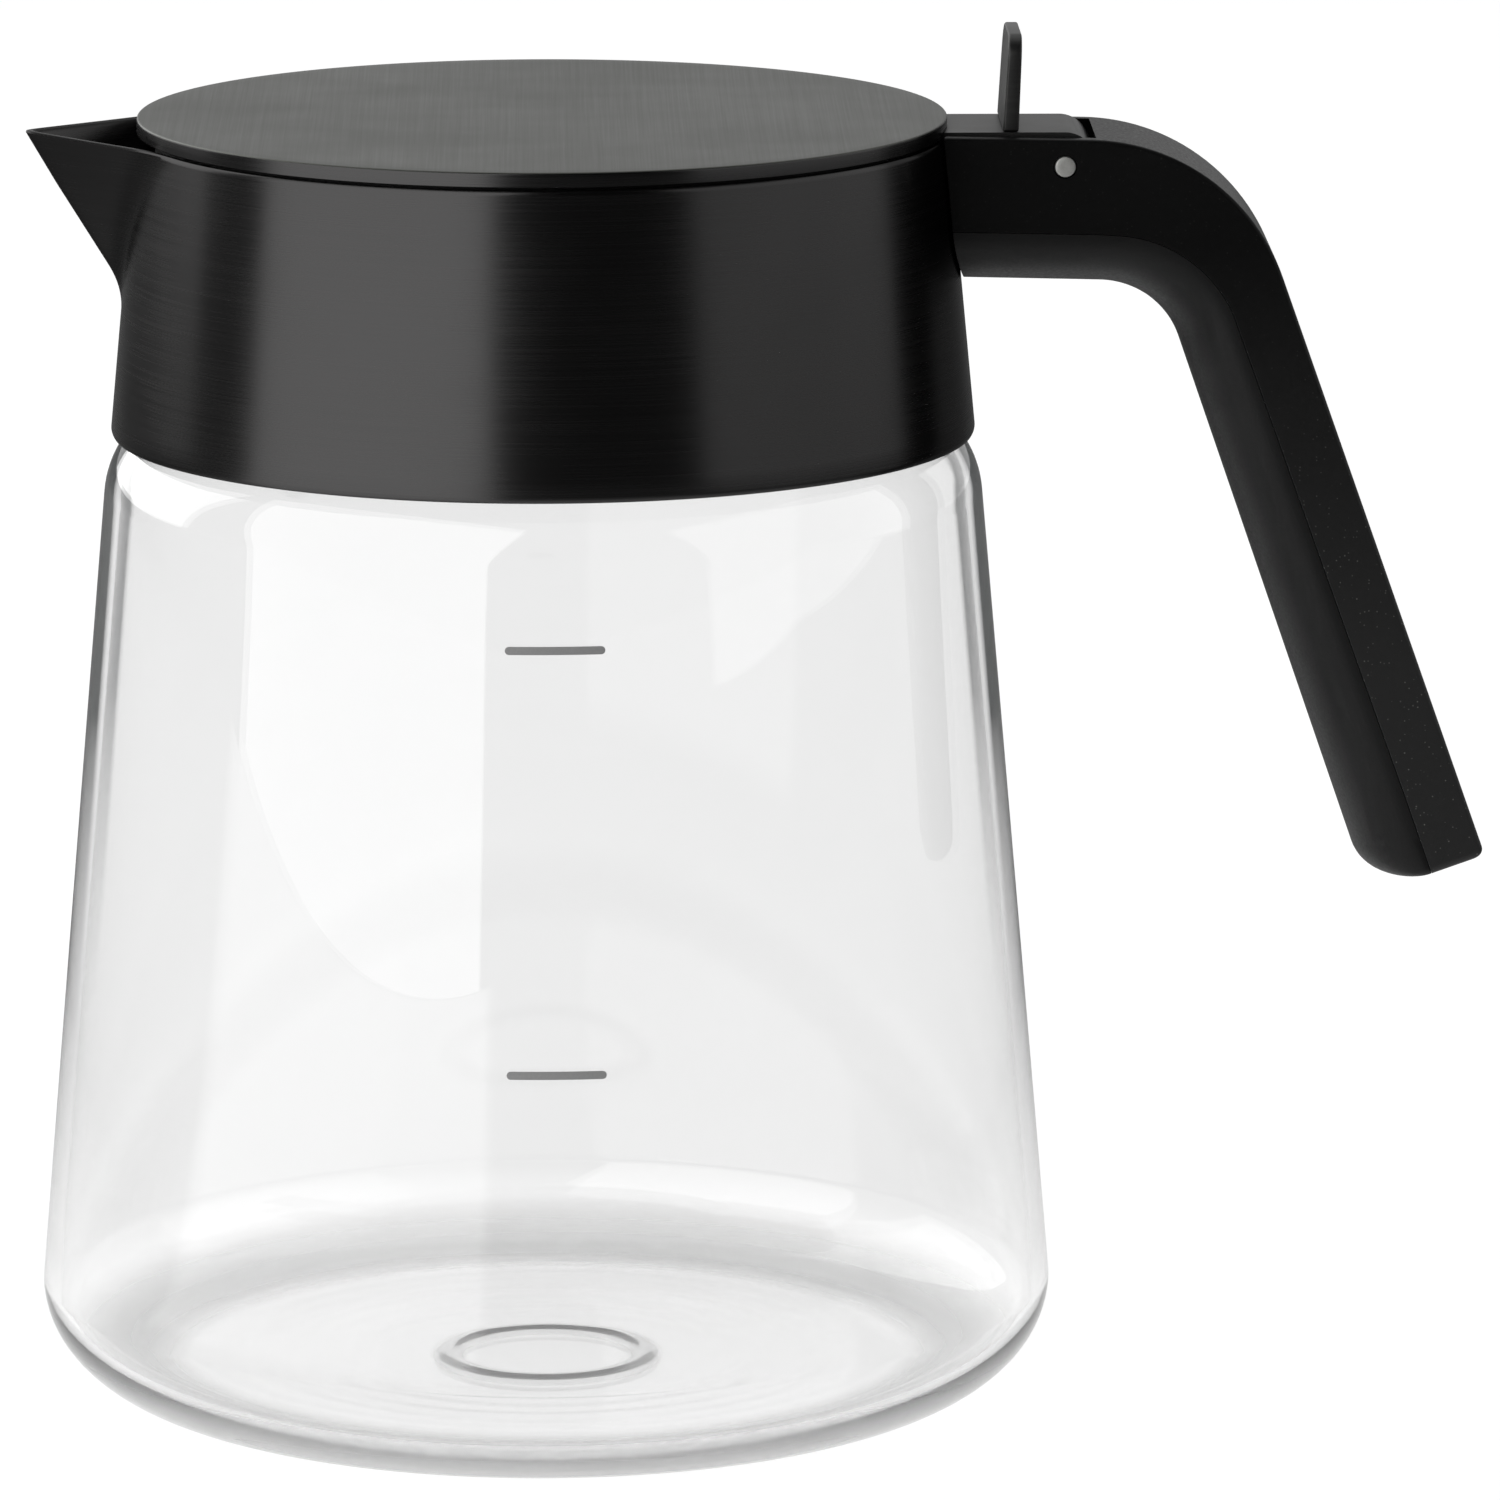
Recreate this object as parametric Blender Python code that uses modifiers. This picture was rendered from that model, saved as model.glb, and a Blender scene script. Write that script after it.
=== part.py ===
"""Glass coffee server: tapered glass jug, black steel collar with a folded
spout, hinged steel lid with a thumb lever, and a two-shell moulded handle.

Metres, +Z up. The jug's axis is the Z axis and it stands on z = 0.
The spout points along -X and the handle along +X.
"""
import math

import bmesh
import bpy
from mathutils import Matrix, Vector

GAP = 0.0003                 # clearance between pieces that rest on each other
ROUND_STEPS = 48             # facets of every large turned piece
SMALL_STEPS = 16             # facets of pins, screws and their bores

# Glass body
BASE_FLAT_RADIUS = 0.0455
BELLY_RADIUS = 0.0617
BELLY_HEIGHT = 0.01345
SHOULDER_RADIUS = 0.0531
SHOULDER_HEIGHT = 0.111
SHOULDER_CURVE = 0.012
SHOULDER_END_ANGLE = math.radians(60.0)
NECK_CURVE = 0.004
RIM_HEIGHT = 0.131
GLASS_WALL = 0.002
GLASS_FLOOR = 0.003
BUTTON_INNER_RADIUS = 0.0105
BUTTON_OUTER_RADIUS = 0.0138
BUTTON_HEIGHT = 0.0007

# Collar and spout
COLLAR_TOP = 0.1544
COLLAR_TOP_RADIUS = 0.0488
COLLAR_FLARE = 0.095         # radius gained for each unit of height downwards
COLLAR_SHEET = 0.0008
LIP_CURVE = 0.0012
LIP_HEIGHT = 0.1189
LIP_END_ANGLE = math.radians(35.0)
SPOUT_REACH = 0.06305        # sharp apex of the folded V at the collar's top
SPOUT_SLOPE = 0.625          # reach lost for each unit of height downwards
SPOUT_ROOT = 0.1369
SPOUT_HALF_ANGLE = math.radians(45.0)
SPOUT_TIP_ROUNDING = math.radians(0.8)
SPOUT_RISE = 0.0004          # height the rim gains on its way to the tip
CREASE_BLEND = 0.002

# Hinge
PIN_X = 0.0625
PIN_Z = 0.15136
PIN_RADIUS = 0.0013
PIN_BORE_RADIUS = 0.0015
KNUCKLE_RADIUS = 0.0039
SLOT_HALF_WIDTH = 0.00825
SLOT_END_RADIUS = 0.00495
SLOT_REAR_X = 0.06615
DECK_TOP = 0.1463            # floor of the slot, a raised deck of the inner shell
DECK_REAR_X = 0.0635

# Lid
LID_RADIUS = 0.0487
LID_TOP = 0.15653
LID_RIM_BOTTOM = 0.15473
LID_SHEET = 0.0009
ARM_HALF_WIDTH = 0.008
ARM_BOTTOM = 0.15225
ARM_TOP = 0.15525
ARM_FRONT_X = -0.022
LID_SCREW_XS = (-0.016, 0.012, 0.038)
INSERT_RADIUS = 0.0465
INSERT_BOTTOM = 0.146
INSERT_TOP = 0.1553
INSERT_WALL = 0.0032
INSERT_FLOOR = 0.002
GASKET_RADIUS = 0.0476
GASKET_GROOVE_RADIUS = 0.0453
GASKET_BOTTOM = 0.1490
GASKET_TOP = 0.1510
LEVER_FRONT_X = 0.0551
LEVER_BASE_THICKNESS = 0.0019
LEVER_TOP_THICKNESS = 0.0016
LEVER_TOP = 0.1668
LEVER_LEAN = math.radians(3.6)
LEVER_CORNER = 0.003

# Handle, as an outer line along its back and an inner line along its belly
HANDLE_HALF_WIDTH = 0.01025
HANDLE_WALL = 0.0022
HANDLE_START_X = 0.047
BACK_START_Z = 0.15493
BACK_BEND_START = (0.06554, 0.15461)
BACK_BEND_RADIUS = 0.025
BACK_END = (0.11395, 0.0669)
BELLY_START_Z = 0.1368
BELLY_BEND_START = (0.06705, 0.13635)
BELLY_BEND_RADIUS = 0.0105
BELLY_END = (0.1001, 0.0620)
ARM_SLOPE = math.radians(1.0)
BEND_END_SLOPE = math.radians(70.7)
BEND_STEPS = 8
ARM_SEAM_RATIO = 0.625       # depth of the seam between the shells, in the arm
GRIP_SEAM_RATIO = 0.465      # and in the grip
BACK_EDGE = 0.0005           # chamfer along the flat back's edges
END_BACK_CURVE = 0.0013
END_BELLY_CURVE = 0.005
END_SIDE_CURVE = 0.001
BELLY_ARC_STEPS = 12
BACK_CAVITY_START = 1        # bend step at which the outer shell turns hollow
BELLY_CAVITY_START = 3       # bend step at which the inner shell turns hollow
BACK_END_WALL = 0.0028
BELLY_END_WALL = 0.0060

# Fasteners
SCREW_SHANK_RADIUS = 0.00125
SCREW_HOLE_RADIUS = 0.0015
SCREW_HEAD_RADIUS = 0.0025
SCREW_HEAD_HEIGHT = 0.0012
SCREW_SOCKET_RADIUS = 0.0012
SCREW_SOCKET_DEPTH = 0.0008
HEAD_SEAT_RADIUS = 0.0028
BOSS_RADIUS = 0.0042
DECK_SCREW_X = 0.0571
DECK_SCREW_Y = 0.0038

# Pegs of the outer shell, pressed into sockets of the inner shell
PEG_RADIUS = 0.0017
PEG_FOOT_RADIUS = 0.0032
PEG_REACH = 0.0030           # how far a peg stands past the seam
PEG_PLACES = (0.16, 0.80)    # along the straight grip, from 0 to 1
SOCKET_RADIUS = 0.0020

# Bracket, welded to the collar inside the handle's front
BRACKET_HALF_WIDTH = 0.0067
PLATE_BOTTOM = 0.1403
PLATE_TOP = 0.1447
PLATE_REAR_X = 0.0526
TONGUE_BOTTOM = 0.1414
TONGUE_TOP = 0.1440
TONGUE_REAR_X = 0.0618


def clear_scene():
    for old in list(bpy.data.objects):
        bpy.data.objects.remove(old, do_unlink=True)


def collection(name):
    group = bpy.data.collections.new(name)
    bpy.context.scene.collection.children.link(group)
    return group


def principled(name, color, roughness, metallic, transmission=0.0):
    material = bpy.data.materials.new(name)
    material.use_nodes = True
    shader = material.node_tree.nodes["Principled BSDF"]
    shader.inputs["Base Color"].default_value = (*color, 1.0)
    shader.inputs["Roughness"].default_value = roughness
    shader.inputs["Metallic"].default_value = metallic
    shader.inputs["Transmission Weight"].default_value = transmission
    return material


clear_scene()
PARTS = collection("coffee_server")
CUTTERS = collection("cutters")
CLEAR_GLASS = principled("clear_glass", (0.92, 0.94, 0.94), 0.03, 0.0, 0.9)
BLACK_STEEL = principled("black_steel", (0.045, 0.045, 0.043), 0.36, 0.9)
LID_STEEL = principled("lid_steel", (0.07, 0.072, 0.068), 0.38, 0.9)
HANDLE_PLASTIC = principled("handle_plastic", (0.018, 0.018, 0.018), 0.5, 0.0)
INNER_PLASTIC = principled("inner_plastic", (0.03, 0.03, 0.03), 0.55, 0.0)
SILICONE = principled("silicone", (0.012, 0.012, 0.012), 0.7, 0.0)
BRIGHT_STEEL = principled("bright_steel", (0.55, 0.55, 0.54), 0.3, 1.0)


def place(name, mesh, material):
    """Put a mesh in the model: with a material it is a part, without one a cutter."""
    thing = bpy.data.objects.new(name, mesh)
    if material is None:
        CUTTERS.objects.link(thing)
        thing.hide_render = True
        thing.display_type = 'WIRE'
    else:
        PARTS.objects.link(thing)
        mesh.materials.append(material)
    return thing


def shade(thing, angle=35.0):
    thing.data.shade_smooth()
    thing.data.set_sharp_from_angle(angle=math.radians(angle))
    return thing


def boolean(thing, operation, *tools):
    for tool in tools:
        modifier = thing.modifiers.new(tool.name, 'BOOLEAN')
        modifier.operation = operation
        modifier.solver = 'EXACT'
        modifier.object = tool


def cut(thing, *tools):
    boolean(thing, 'DIFFERENCE', *tools)


def join(thing, *tools):
    boolean(thing, 'UNION', *tools)


def turned(name, profile, material, steps=ROUND_STEPS):
    """Turn (radius, height) points about Z. The outer side runs from top to bottom."""
    mesh = bpy.data.meshes.new(name)
    points = [(radius, 0.0, height) for radius, height in profile]
    edges = [(i, i + 1) for i in range(len(points) - 1)]
    if profile[0][0] > 0.0:
        edges.append((len(points) - 1, 0))
    mesh.from_pydata(points, edges, [])
    thing = place(name, mesh, material)
    screw = thing.modifiers.new("turn", 'SCREW')
    screw.steps = steps
    screw.render_steps = steps
    screw.use_merge_vertices = True
    screw.merge_threshold = 0.00001
    screw.use_smooth_shade = True
    return thing


def cylinder(name, start, end, radius, material=None, steps=SMALL_STEPS):
    start, end = Vector(start), Vector(end)
    along = end - start
    turn = along.to_track_quat('Z', 'Y').to_matrix().to_4x4()
    mesh = bpy.data.meshes.new(name)
    shape = bmesh.new()
    bmesh.ops.create_cone(shape, cap_ends=True, segments=steps, radius1=radius,
                          radius2=radius, depth=along.length,
                          matrix=Matrix.Translation((start + end) / 2) @ turn)
    shape.to_mesh(mesh)
    shape.free()
    return place(name, mesh, material)


def box(name, low, high, material=None):
    low, high = Vector(low), Vector(high)
    mesh = bpy.data.meshes.new(name)
    shape = bmesh.new()
    bmesh.ops.create_cube(shape, size=1.0)
    bmesh.ops.scale(shape, vec=high - low, verts=shape.verts)
    bmesh.ops.translate(shape, vec=(low + high) / 2, verts=shape.verts)
    shape.to_mesh(mesh)
    shape.free()
    return place(name, mesh, material)


def plate(name, loops, half_width, material=None):
    """A flat outline in the XZ plane, with any holes, as thick as 2 x half_width in Y."""
    curve = bpy.data.curves.new(name, 'CURVE')
    curve.dimensions = '2D'
    curve.fill_mode = 'BOTH'
    curve.extrude = half_width
    for loop in loops:
        spline = curve.splines.new('POLY')
        spline.points.add(len(loop) - 1)
        for point, (x, z) in zip(spline.points, loop):
            point.co = (x, z, 0.0, 1.0)
        spline.use_cyclic_u = True
    guide = bpy.data.objects.new(name, curve)
    guide.rotation_euler = (math.pi / 2, 0.0, 0.0)
    CUTTERS.objects.link(guide)
    graph = bpy.context.evaluated_depsgraph_get()
    mesh = bpy.data.meshes.new_from_object(guide.evaluated_get(graph))
    mesh.transform(guide.matrix_world)
    shape = bmesh.new()
    shape.from_mesh(mesh)
    bmesh.ops.remove_doubles(shape, verts=shape.verts, dist=0.000001)
    bmesh.ops.recalc_face_normals(shape, faces=shape.faces)
    shape.to_mesh(mesh)
    shape.free()
    bpy.data.objects.remove(guide)
    mesh.name = name
    mesh.materials.clear()
    return place(name, mesh, material)


def loft(name, rings, material=None):
    """Skin equal rings of points and cap both ends."""
    count = len(rings[0])
    shape = bmesh.new()
    verts = [[shape.verts.new(point) for point in ring] for ring in rings]
    for lower, upper in zip(verts, verts[1:]):
        for i in range(count):
            j = (i + 1) % count
            shape.faces.new((lower[i], lower[j], upper[j], upper[i]))
    shape.faces.new(list(reversed(verts[0])))
    shape.faces.new(verts[-1])
    bmesh.ops.recalc_face_normals(shape, faces=shape.faces)
    mesh = bpy.data.meshes.new(name)
    shape.to_mesh(mesh)
    shape.free()
    return place(name, mesh, material)


def arc(center, radius_x, radius_z, start, end, steps):
    """Points of an elliptical arc, both ends included."""
    angles = [start + (end - start) * i / steps for i in range(steps + 1)]
    return [(center[0] + radius_x * math.cos(a), center[1] + radius_z * math.sin(a))
            for a in angles]


# ---- Glass ----

GLASS_TAPER = math.atan2(BELLY_RADIUS - SHOULDER_RADIUS, SHOULDER_HEIGHT - BELLY_HEIGHT)
SHOULDER_CENTER = (SHOULDER_RADIUS - SHOULDER_CURVE * math.cos(GLASS_TAPER),
                   SHOULDER_HEIGHT - SHOULDER_CURVE * math.sin(GLASS_TAPER))


def neck_center():
    reach = SHOULDER_CURVE + NECK_CURVE
    return (SHOULDER_CENTER[0] + reach * math.cos(SHOULDER_END_ANGLE),
            SHOULDER_CENTER[1] + reach * math.sin(SHOULDER_END_ANGLE))


def glass_side(inset, base_height):
    """One side of the wall from the base's flat up to the top of the neck."""
    curve_width = BELLY_RADIUS - BASE_FLAT_RADIUS - inset
    base = arc((BASE_FLAT_RADIUS, BELLY_HEIGHT), curve_width, BELLY_HEIGHT - base_height,
               -math.pi / 2, 0.0, 7)
    shoulder = arc(SHOULDER_CENTER, SHOULDER_CURVE - inset, SHOULDER_CURVE - inset,
                   GLASS_TAPER, SHOULDER_END_ANGLE, 5)
    neck = arc(neck_center(), NECK_CURVE + inset, NECK_CURVE + inset,
               math.pi + SHOULDER_END_ANGLE, math.pi, 3)
    return base + shoulder + neck[1:]


def make_glass():
    inner = glass_side(GLASS_WALL, GLASS_FLOOR)
    outer = glass_side(0.0, 0.0)
    rim_center = ((inner[-1][0] + outer[-1][0]) / 2, RIM_HEIGHT - GLASS_WALL / 2)
    rim = arc(rim_center, GLASS_WALL / 2, GLASS_WALL / 2, math.pi, 0.0, 4)
    button_middle = (BUTTON_INNER_RADIUS + BUTTON_OUTER_RADIUS) / 2
    button = [(0.0, GLASS_FLOOR), (BUTTON_INNER_RADIUS, GLASS_FLOOR),
              (button_middle, GLASS_FLOOR + BUTTON_HEIGHT), (BUTTON_OUTER_RADIUS, GLASS_FLOOR)]
    profile = button + inner + rim + outer[::-1] + [(0.0, 0.0)]
    return turned("glass_body", profile, CLEAR_GLASS)


# ---- Collar with its spout ----

def collar_radius(height):
    return COLLAR_TOP_RADIUS + COLLAR_FLARE * (COLLAR_TOP - height)


def spout_radius(angle, height):
    """Polar radius of the folded V, with the angle measured from -X."""
    apex = SPOUT_REACH - SPOUT_SLOPE * (COLLAR_TOP - height)
    rounded = math.hypot(angle, SPOUT_TIP_ROUNDING)
    off_normal = max(SPOUT_HALF_ANGLE - rounded, 0.0)
    return apex * math.sin(SPOUT_HALF_ANGLE) / math.cos(off_normal)


def smooth_max(a, b, blend):
    overlap = max(blend - abs(a - b), 0.0)
    return max(a, b) + overlap * overlap / (4.0 * blend)


def collar_point(angle, radius, height):
    return (-radius * math.cos(angle), -radius * math.sin(angle), height)


def collar_angles():
    spout_half = [0.0, 0.7, 1.6, 3.0, 5.0, 7.5, 10.5, 13.5, 16.0, 18.0, 20.0, 22.5, 26.0, 30.0]
    facet = 360.0 / ROUND_STEPS
    rest = [30.0 + facet * i for i in range(1, int(300.0 / facet))]
    degrees = spout_half + rest + [360.0 - a for a in reversed(spout_half[1:])]
    return [math.radians(a) for a in degrees]


def make_collar():
    wall = [COLLAR_TOP, 0.1512, 0.1478, 0.1446, 0.1418, 0.1396, 0.1381, SPOUT_ROOT, 0.1354, 0.1300]
    lip_center = (collar_radius(LIP_HEIGHT) - LIP_CURVE, LIP_HEIGHT)
    lip = arc(lip_center, LIP_CURVE, LIP_CURVE, 0.0, -LIP_END_ANGLE, 2)
    angles = collar_angles()
    shape = bmesh.new()
    rows = []
    for height in wall:
        row = []
        for angle in angles:
            signed = (angle + math.pi) % (2.0 * math.pi) - math.pi
            round_radius = collar_radius(height)
            radius = smooth_max(round_radius, spout_radius(signed, height), CREASE_BLEND)
            rise = 0.0
            if height == COLLAR_TOP:
                rise = SPOUT_RISE * (radius - round_radius) / (SPOUT_REACH - round_radius)
            row.append(shape.verts.new(collar_point(angle, radius, height + rise)))
        rows.append(row)
    for radius, height in lip:
        rows.append([shape.verts.new(collar_point(angle, radius, height)) for angle in angles])
    for upper, lower in zip(rows, rows[1:]):
        for i in range(len(angles)):
            j = (i + 1) % len(angles)
            shape.faces.new((upper[i], lower[i], lower[j], upper[j]))
    mesh = bpy.data.meshes.new("collar")
    shape.to_mesh(mesh)
    shape.free()
    thing = shade(place("collar", mesh, BLACK_STEEL))
    sheet = thing.modifiers.new("sheet", 'SOLIDIFY')
    sheet.thickness = COLLAR_SHEET
    sheet.offset = -1.0
    sheet.use_even_offset = True
    notch_half = ARM_HALF_WIDTH + 0.0005
    cut(thing, box("collar_notch", (0.040, -notch_half, ARM_BOTTOM - 0.00035),
                   (0.056, notch_half, COLLAR_TOP + 0.002)))
    return thing


def collar_clearance():
    """The collar's cone a little enlarged, which shapes what stands against it."""
    low, high = 0.125, 0.165
    profile = [(0.0, high), (collar_radius(high) + GAP, high),
               (collar_radius(low) + GAP, low), (0.0, low)]
    return turned("collar_clearance", profile, None)


# ---- Rings between glass and collar ----

def make_neck_gasket():
    reach = SHOULDER_CURVE + GAP
    seat = arc(SHOULDER_CENTER, reach, reach, math.radians(41.5), SHOULDER_END_ANGLE, 3)
    top, lip_inside = 0.1216, 0.0508
    outer = collar_radius(top) - COLLAR_SHEET - GAP
    profile = [(outer, top), (lip_inside, 0.1199), (lip_inside - 0.0001, 0.1184)] + seat
    profile.append((seat[-1][0], top))
    return turned("neck_gasket", profile, SILICONE)


def make_neck_ring():
    top, bottom = RIM_HEIGHT, 0.1220
    inner = neck_center()[0] - NECK_CURVE + GAP
    profile = [(collar_radius(top) - COLLAR_SHEET - GAP, top),
               (collar_radius(bottom) - COLLAR_SHEET - GAP, bottom),
               (inner + 0.0012, bottom), (inner, bottom + 0.0026), (inner, top)]
    return turned("neck_ring", profile, INNER_PLASTIC)


def make_pour_seal():
    bottom, inner_top, outer_top = RIM_HEIGHT + GAP, 0.1330, 0.1360
    profile = [(collar_radius(outer_top) - COLLAR_SHEET - GAP, outer_top),
               (collar_radius(outer_top) - COLLAR_SHEET - GAP, bottom),
               (0.0437, bottom), (0.0434, inner_top), (0.0482, outer_top)]
    return turned("pour_seal", profile, SILICONE)


# ---- Handle ----

def bend_point(start, radius, angle):
    """A point of a downward bend that starts with the arm's slope."""
    center_x = start[0] - radius * math.sin(ARM_SLOPE)
    center_z = start[1] - radius * math.cos(ARM_SLOPE)
    return Vector((center_x + radius * math.sin(angle), center_z + radius * math.cos(angle)))


def bend_pair(fraction):
    """The pair of points, on the back and on the belly, a fraction of the way round the bend."""
    angle = ARM_SLOPE + (BEND_END_SLOPE - ARM_SLOPE) * fraction
    return (bend_point(BACK_BEND_START, BACK_BEND_RADIUS, angle),
            bend_point(BELLY_BEND_START, BELLY_BEND_RADIUS, angle))


def handle_stations():
    """Pairs of points from the collar to the end of the bend."""
    start = (Vector((HANDLE_START_X, BACK_START_Z)), Vector((HANDLE_START_X, BELLY_START_Z)))
    return [start] + [bend_pair(i / BEND_STEPS) for i in range(BEND_STEPS + 1)]


def cavity_stations(first, last_distance):
    """Pairs that fall between the shells' own, from one bend step to the grip's end."""
    pairs = [bend_pair((i + 0.5) / BEND_STEPS) for i in range(first, BEND_STEPS)]
    return pairs + [grip_pair(last_distance)]


def grip_pair(distance):
    """The pair of points a distance up the straight grip from its free end."""
    pairs = handle_stations()
    result = []
    for top, end in zip(pairs[-1], (Vector(BACK_END), Vector(BELLY_END))):
        result.append(end + (top - end).normalized() * distance)
    return result[0], result[1]


def corner_inset(distance, curve):
    if distance >= curve:
        return 0.0
    return curve - math.sqrt(curve * curve - (curve - distance) ** 2)


def section_point(pair, y, depth):
    back, belly = pair
    place_2d = back + (belly - back).normalized() * depth
    return (place_2d.x, y, place_2d.y)


def seam_depth(pair):
    """The seam lies low in the arm and moves towards the back as the handle bends down."""
    across = pair[1] - pair[0]
    lean = math.atan2(-across.x, -across.y)
    share = min(max(lean / BEND_END_SLOPE, 0.0), 1.0)
    return across.length * (ARM_SEAM_RATIO + (GRIP_SEAM_RATIO - ARM_SEAM_RATIO) * share)


def back_ring(pair, back_inset=0.0, side_inset=0.0):
    half = HANDLE_HALF_WIDTH - side_inset
    seam = seam_depth(pair) - GAP / 2
    outline = [(-half, seam), (-half, back_inset + BACK_EDGE), (-half + BACK_EDGE, back_inset),
               (half - BACK_EDGE, back_inset), (half, back_inset + BACK_EDGE), (half, seam)]
    return [section_point(pair, y, depth) for y, depth in outline]


def belly_ring(pair, belly_inset=0.0, side_inset=0.0):
    half = HANDLE_HALF_WIDTH - side_inset
    seam = seam_depth(pair) + GAP / 2
    fall = (pair[1] - pair[0]).length - belly_inset - seam
    outline = arc((0.0, seam), half, fall, 0.0, math.pi, BELLY_ARC_STEPS)
    return [section_point(pair, y, depth) for y, depth in outline]


def end_distances():
    return [0.010, END_BELLY_CURVE, 0.0034, 0.0021, END_BACK_CURVE, 0.0007, 0.0002, 0.0]


def back_cavity():
    half = HANDLE_HALF_WIDTH - HANDLE_WALL
    rings = []
    for pair in cavity_stations(BACK_CAVITY_START, BACK_END_WALL):
        beyond_seam = seam_depth(pair) + 0.001
        outline = [(-half, beyond_seam), (-half, HANDLE_WALL),
                   (half, HANDLE_WALL), (half, beyond_seam)]
        rings.append([section_point(pair, y, depth) for y, depth in outline])
    return loft("back_cavity", rings)


def belly_cavity():
    half = HANDLE_HALF_WIDTH - HANDLE_WALL
    above_seam = 0.001
    rings = []
    for pair in cavity_stations(BELLY_CAVITY_START, BELLY_END_WALL):
        seam = seam_depth(pair)
        fall = (pair[1] - pair[0]).length - HANDLE_WALL - seam
        curve = arc((0.0, seam), half, fall, 0.0, math.pi, BELLY_ARC_STEPS)[1:-1]
        outline = [(half, seam - above_seam)] + curve + [(-half, seam - above_seam)]
        rings.append([section_point(pair, y, depth) for y, depth in outline])
    return loft("belly_cavity", rings)


def peg_pair(fraction):
    """The pair of points where a peg crosses the straight grip."""
    return tuple(a.lerp(b, fraction) for a, b in zip(handle_stations()[-1], grip_pair(0.0)))


def hinge_slot():
    """The open slot for the lid's arm and the deck: a channel with a hollow end about the pin."""
    start_x, bottom, top = 0.045, 0.1410, 0.160
    rear = arc((PIN_X, PIN_Z), SLOT_END_RADIUS, SLOT_END_RADIUS, math.radians(-75.0),
               math.acos((SLOT_REAR_X - PIN_X) / SLOT_END_RADIUS), 8)
    outline = [(start_x, top), (start_x, bottom), (rear[0][0], bottom)]
    outline += rear + [(rear[-1][0], top)]
    return plate("hinge_slot", [outline], SLOT_HALF_WIDTH)


def make_handle_outer():
    rings = [back_ring(pair) for pair in handle_stations()]
    for distance in end_distances():
        rings.append(back_ring(grip_pair(distance), corner_inset(distance, END_BACK_CURVE),
                               corner_inset(distance, END_SIDE_CURVE)))
    thing = shade(loft("handle_outer", rings, HANDLE_PLASTIC))
    cut(thing, collar_clearance(), hinge_slot(), back_cavity())
    for index, fraction in enumerate(PEG_PLACES):
        pair = peg_pair(fraction)
        seam = seam_depth(pair)
        foot = section_point(pair, 0.0, HANDLE_WALL / 2)
        join(thing, cylinder(f"peg_foot_{index}", foot,
                             section_point(pair, 0.0, seam - GAP / 2), PEG_FOOT_RADIUS))
        join(thing, cylinder(f"peg_{index}", foot,
                             section_point(pair, 0.0, seam + PEG_REACH), PEG_RADIUS))
    reach = HANDLE_HALF_WIDTH + 0.002
    cut(thing, cylinder("cheek_bore", (PIN_X, -reach, PIN_Z), (PIN_X, reach, PIN_Z),
                        PIN_BORE_RADIUS))
    return thing


def make_handle_inner():
    rings = [belly_ring(pair) for pair in handle_stations()]
    for distance in end_distances():
        rings.append(belly_ring(grip_pair(distance), corner_inset(distance, END_BELLY_CURVE),
                                corner_inset(distance, END_SIDE_CURVE)))
    thing = shade(loft("handle_inner", rings, HANDLE_PLASTIC))
    deck_half = SLOT_HALF_WIDTH - GAP
    join(thing, box("deck", (HANDLE_START_X, -deck_half, PLATE_BOTTOM),
                    (DECK_REAR_X, deck_half, DECK_TOP)))
    half = BRACKET_HALF_WIDTH + GAP
    cut(thing, bpy.data.objects["collar_clearance"], belly_cavity(),
        box("plate_pocket", (0.045, -half, PLATE_BOTTOM - GAP),
            (PLATE_REAR_X + GAP, half, PLATE_TOP + GAP)),
        box("tongue_pocket", (0.045, -half, TONGUE_BOTTOM - GAP),
            (TONGUE_REAR_X + GAP, half, TONGUE_TOP + GAP)))
    for index, fraction in enumerate(PEG_PLACES):
        pair = peg_pair(fraction)
        seam = seam_depth(pair)
        end = section_point(pair, 0.0, (pair[1] - pair[0]).length - HANDLE_WALL / 2)
        join(thing, cylinder(f"boss_{index}", section_point(pair, 0.0, seam + GAP / 2), end,
                             BOSS_RADIUS))
        cut(thing, cylinder(f"socket_{index}", section_point(pair, 0.0, seam - 0.002),
                            section_point(pair, 0.0, seam + PEG_REACH + GAP), SOCKET_RADIUS))
    above = DECK_TOP + 0.002
    for side, y in deck_screw_places():
        cut(thing, cylinder(f"deck_hole_{side}", (DECK_SCREW_X, y, TONGUE_BOTTOM),
                            (DECK_SCREW_X, y, above), SCREW_HOLE_RADIUS))
        cut(thing, cylinder(f"deck_seat_{side}", (DECK_SCREW_X, y, DECK_TOP - SCREW_HEAD_HEIGHT - GAP),
                            (DECK_SCREW_X, y, above), HEAD_SEAT_RADIUS))
    return thing


def deck_screw_places():
    return (("left", -DECK_SCREW_Y), ("right", DECK_SCREW_Y))


def make_bracket():
    outline = [(0.049, PLATE_TOP), (0.049, PLATE_BOTTOM), (PLATE_REAR_X, PLATE_BOTTOM),
               (PLATE_REAR_X, TONGUE_BOTTOM), (TONGUE_REAR_X, TONGUE_BOTTOM),
               (TONGUE_REAR_X, TONGUE_TOP), (PLATE_REAR_X, TONGUE_TOP), (PLATE_REAR_X, PLATE_TOP)]
    thing = plate("handle_bracket", [outline], BRACKET_HALF_WIDTH, BRIGHT_STEEL)
    cut(thing, bpy.data.objects["collar_clearance"])
    for side, y in deck_screw_places():
        cut(thing, cylinder(f"bracket_hole_{side}", (DECK_SCREW_X, y, TONGUE_BOTTOM - 0.002),
                            (DECK_SCREW_X, y, TONGUE_TOP + 0.002), SCREW_HOLE_RADIUS))
    return thing


# ---- Fasteners ----

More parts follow.
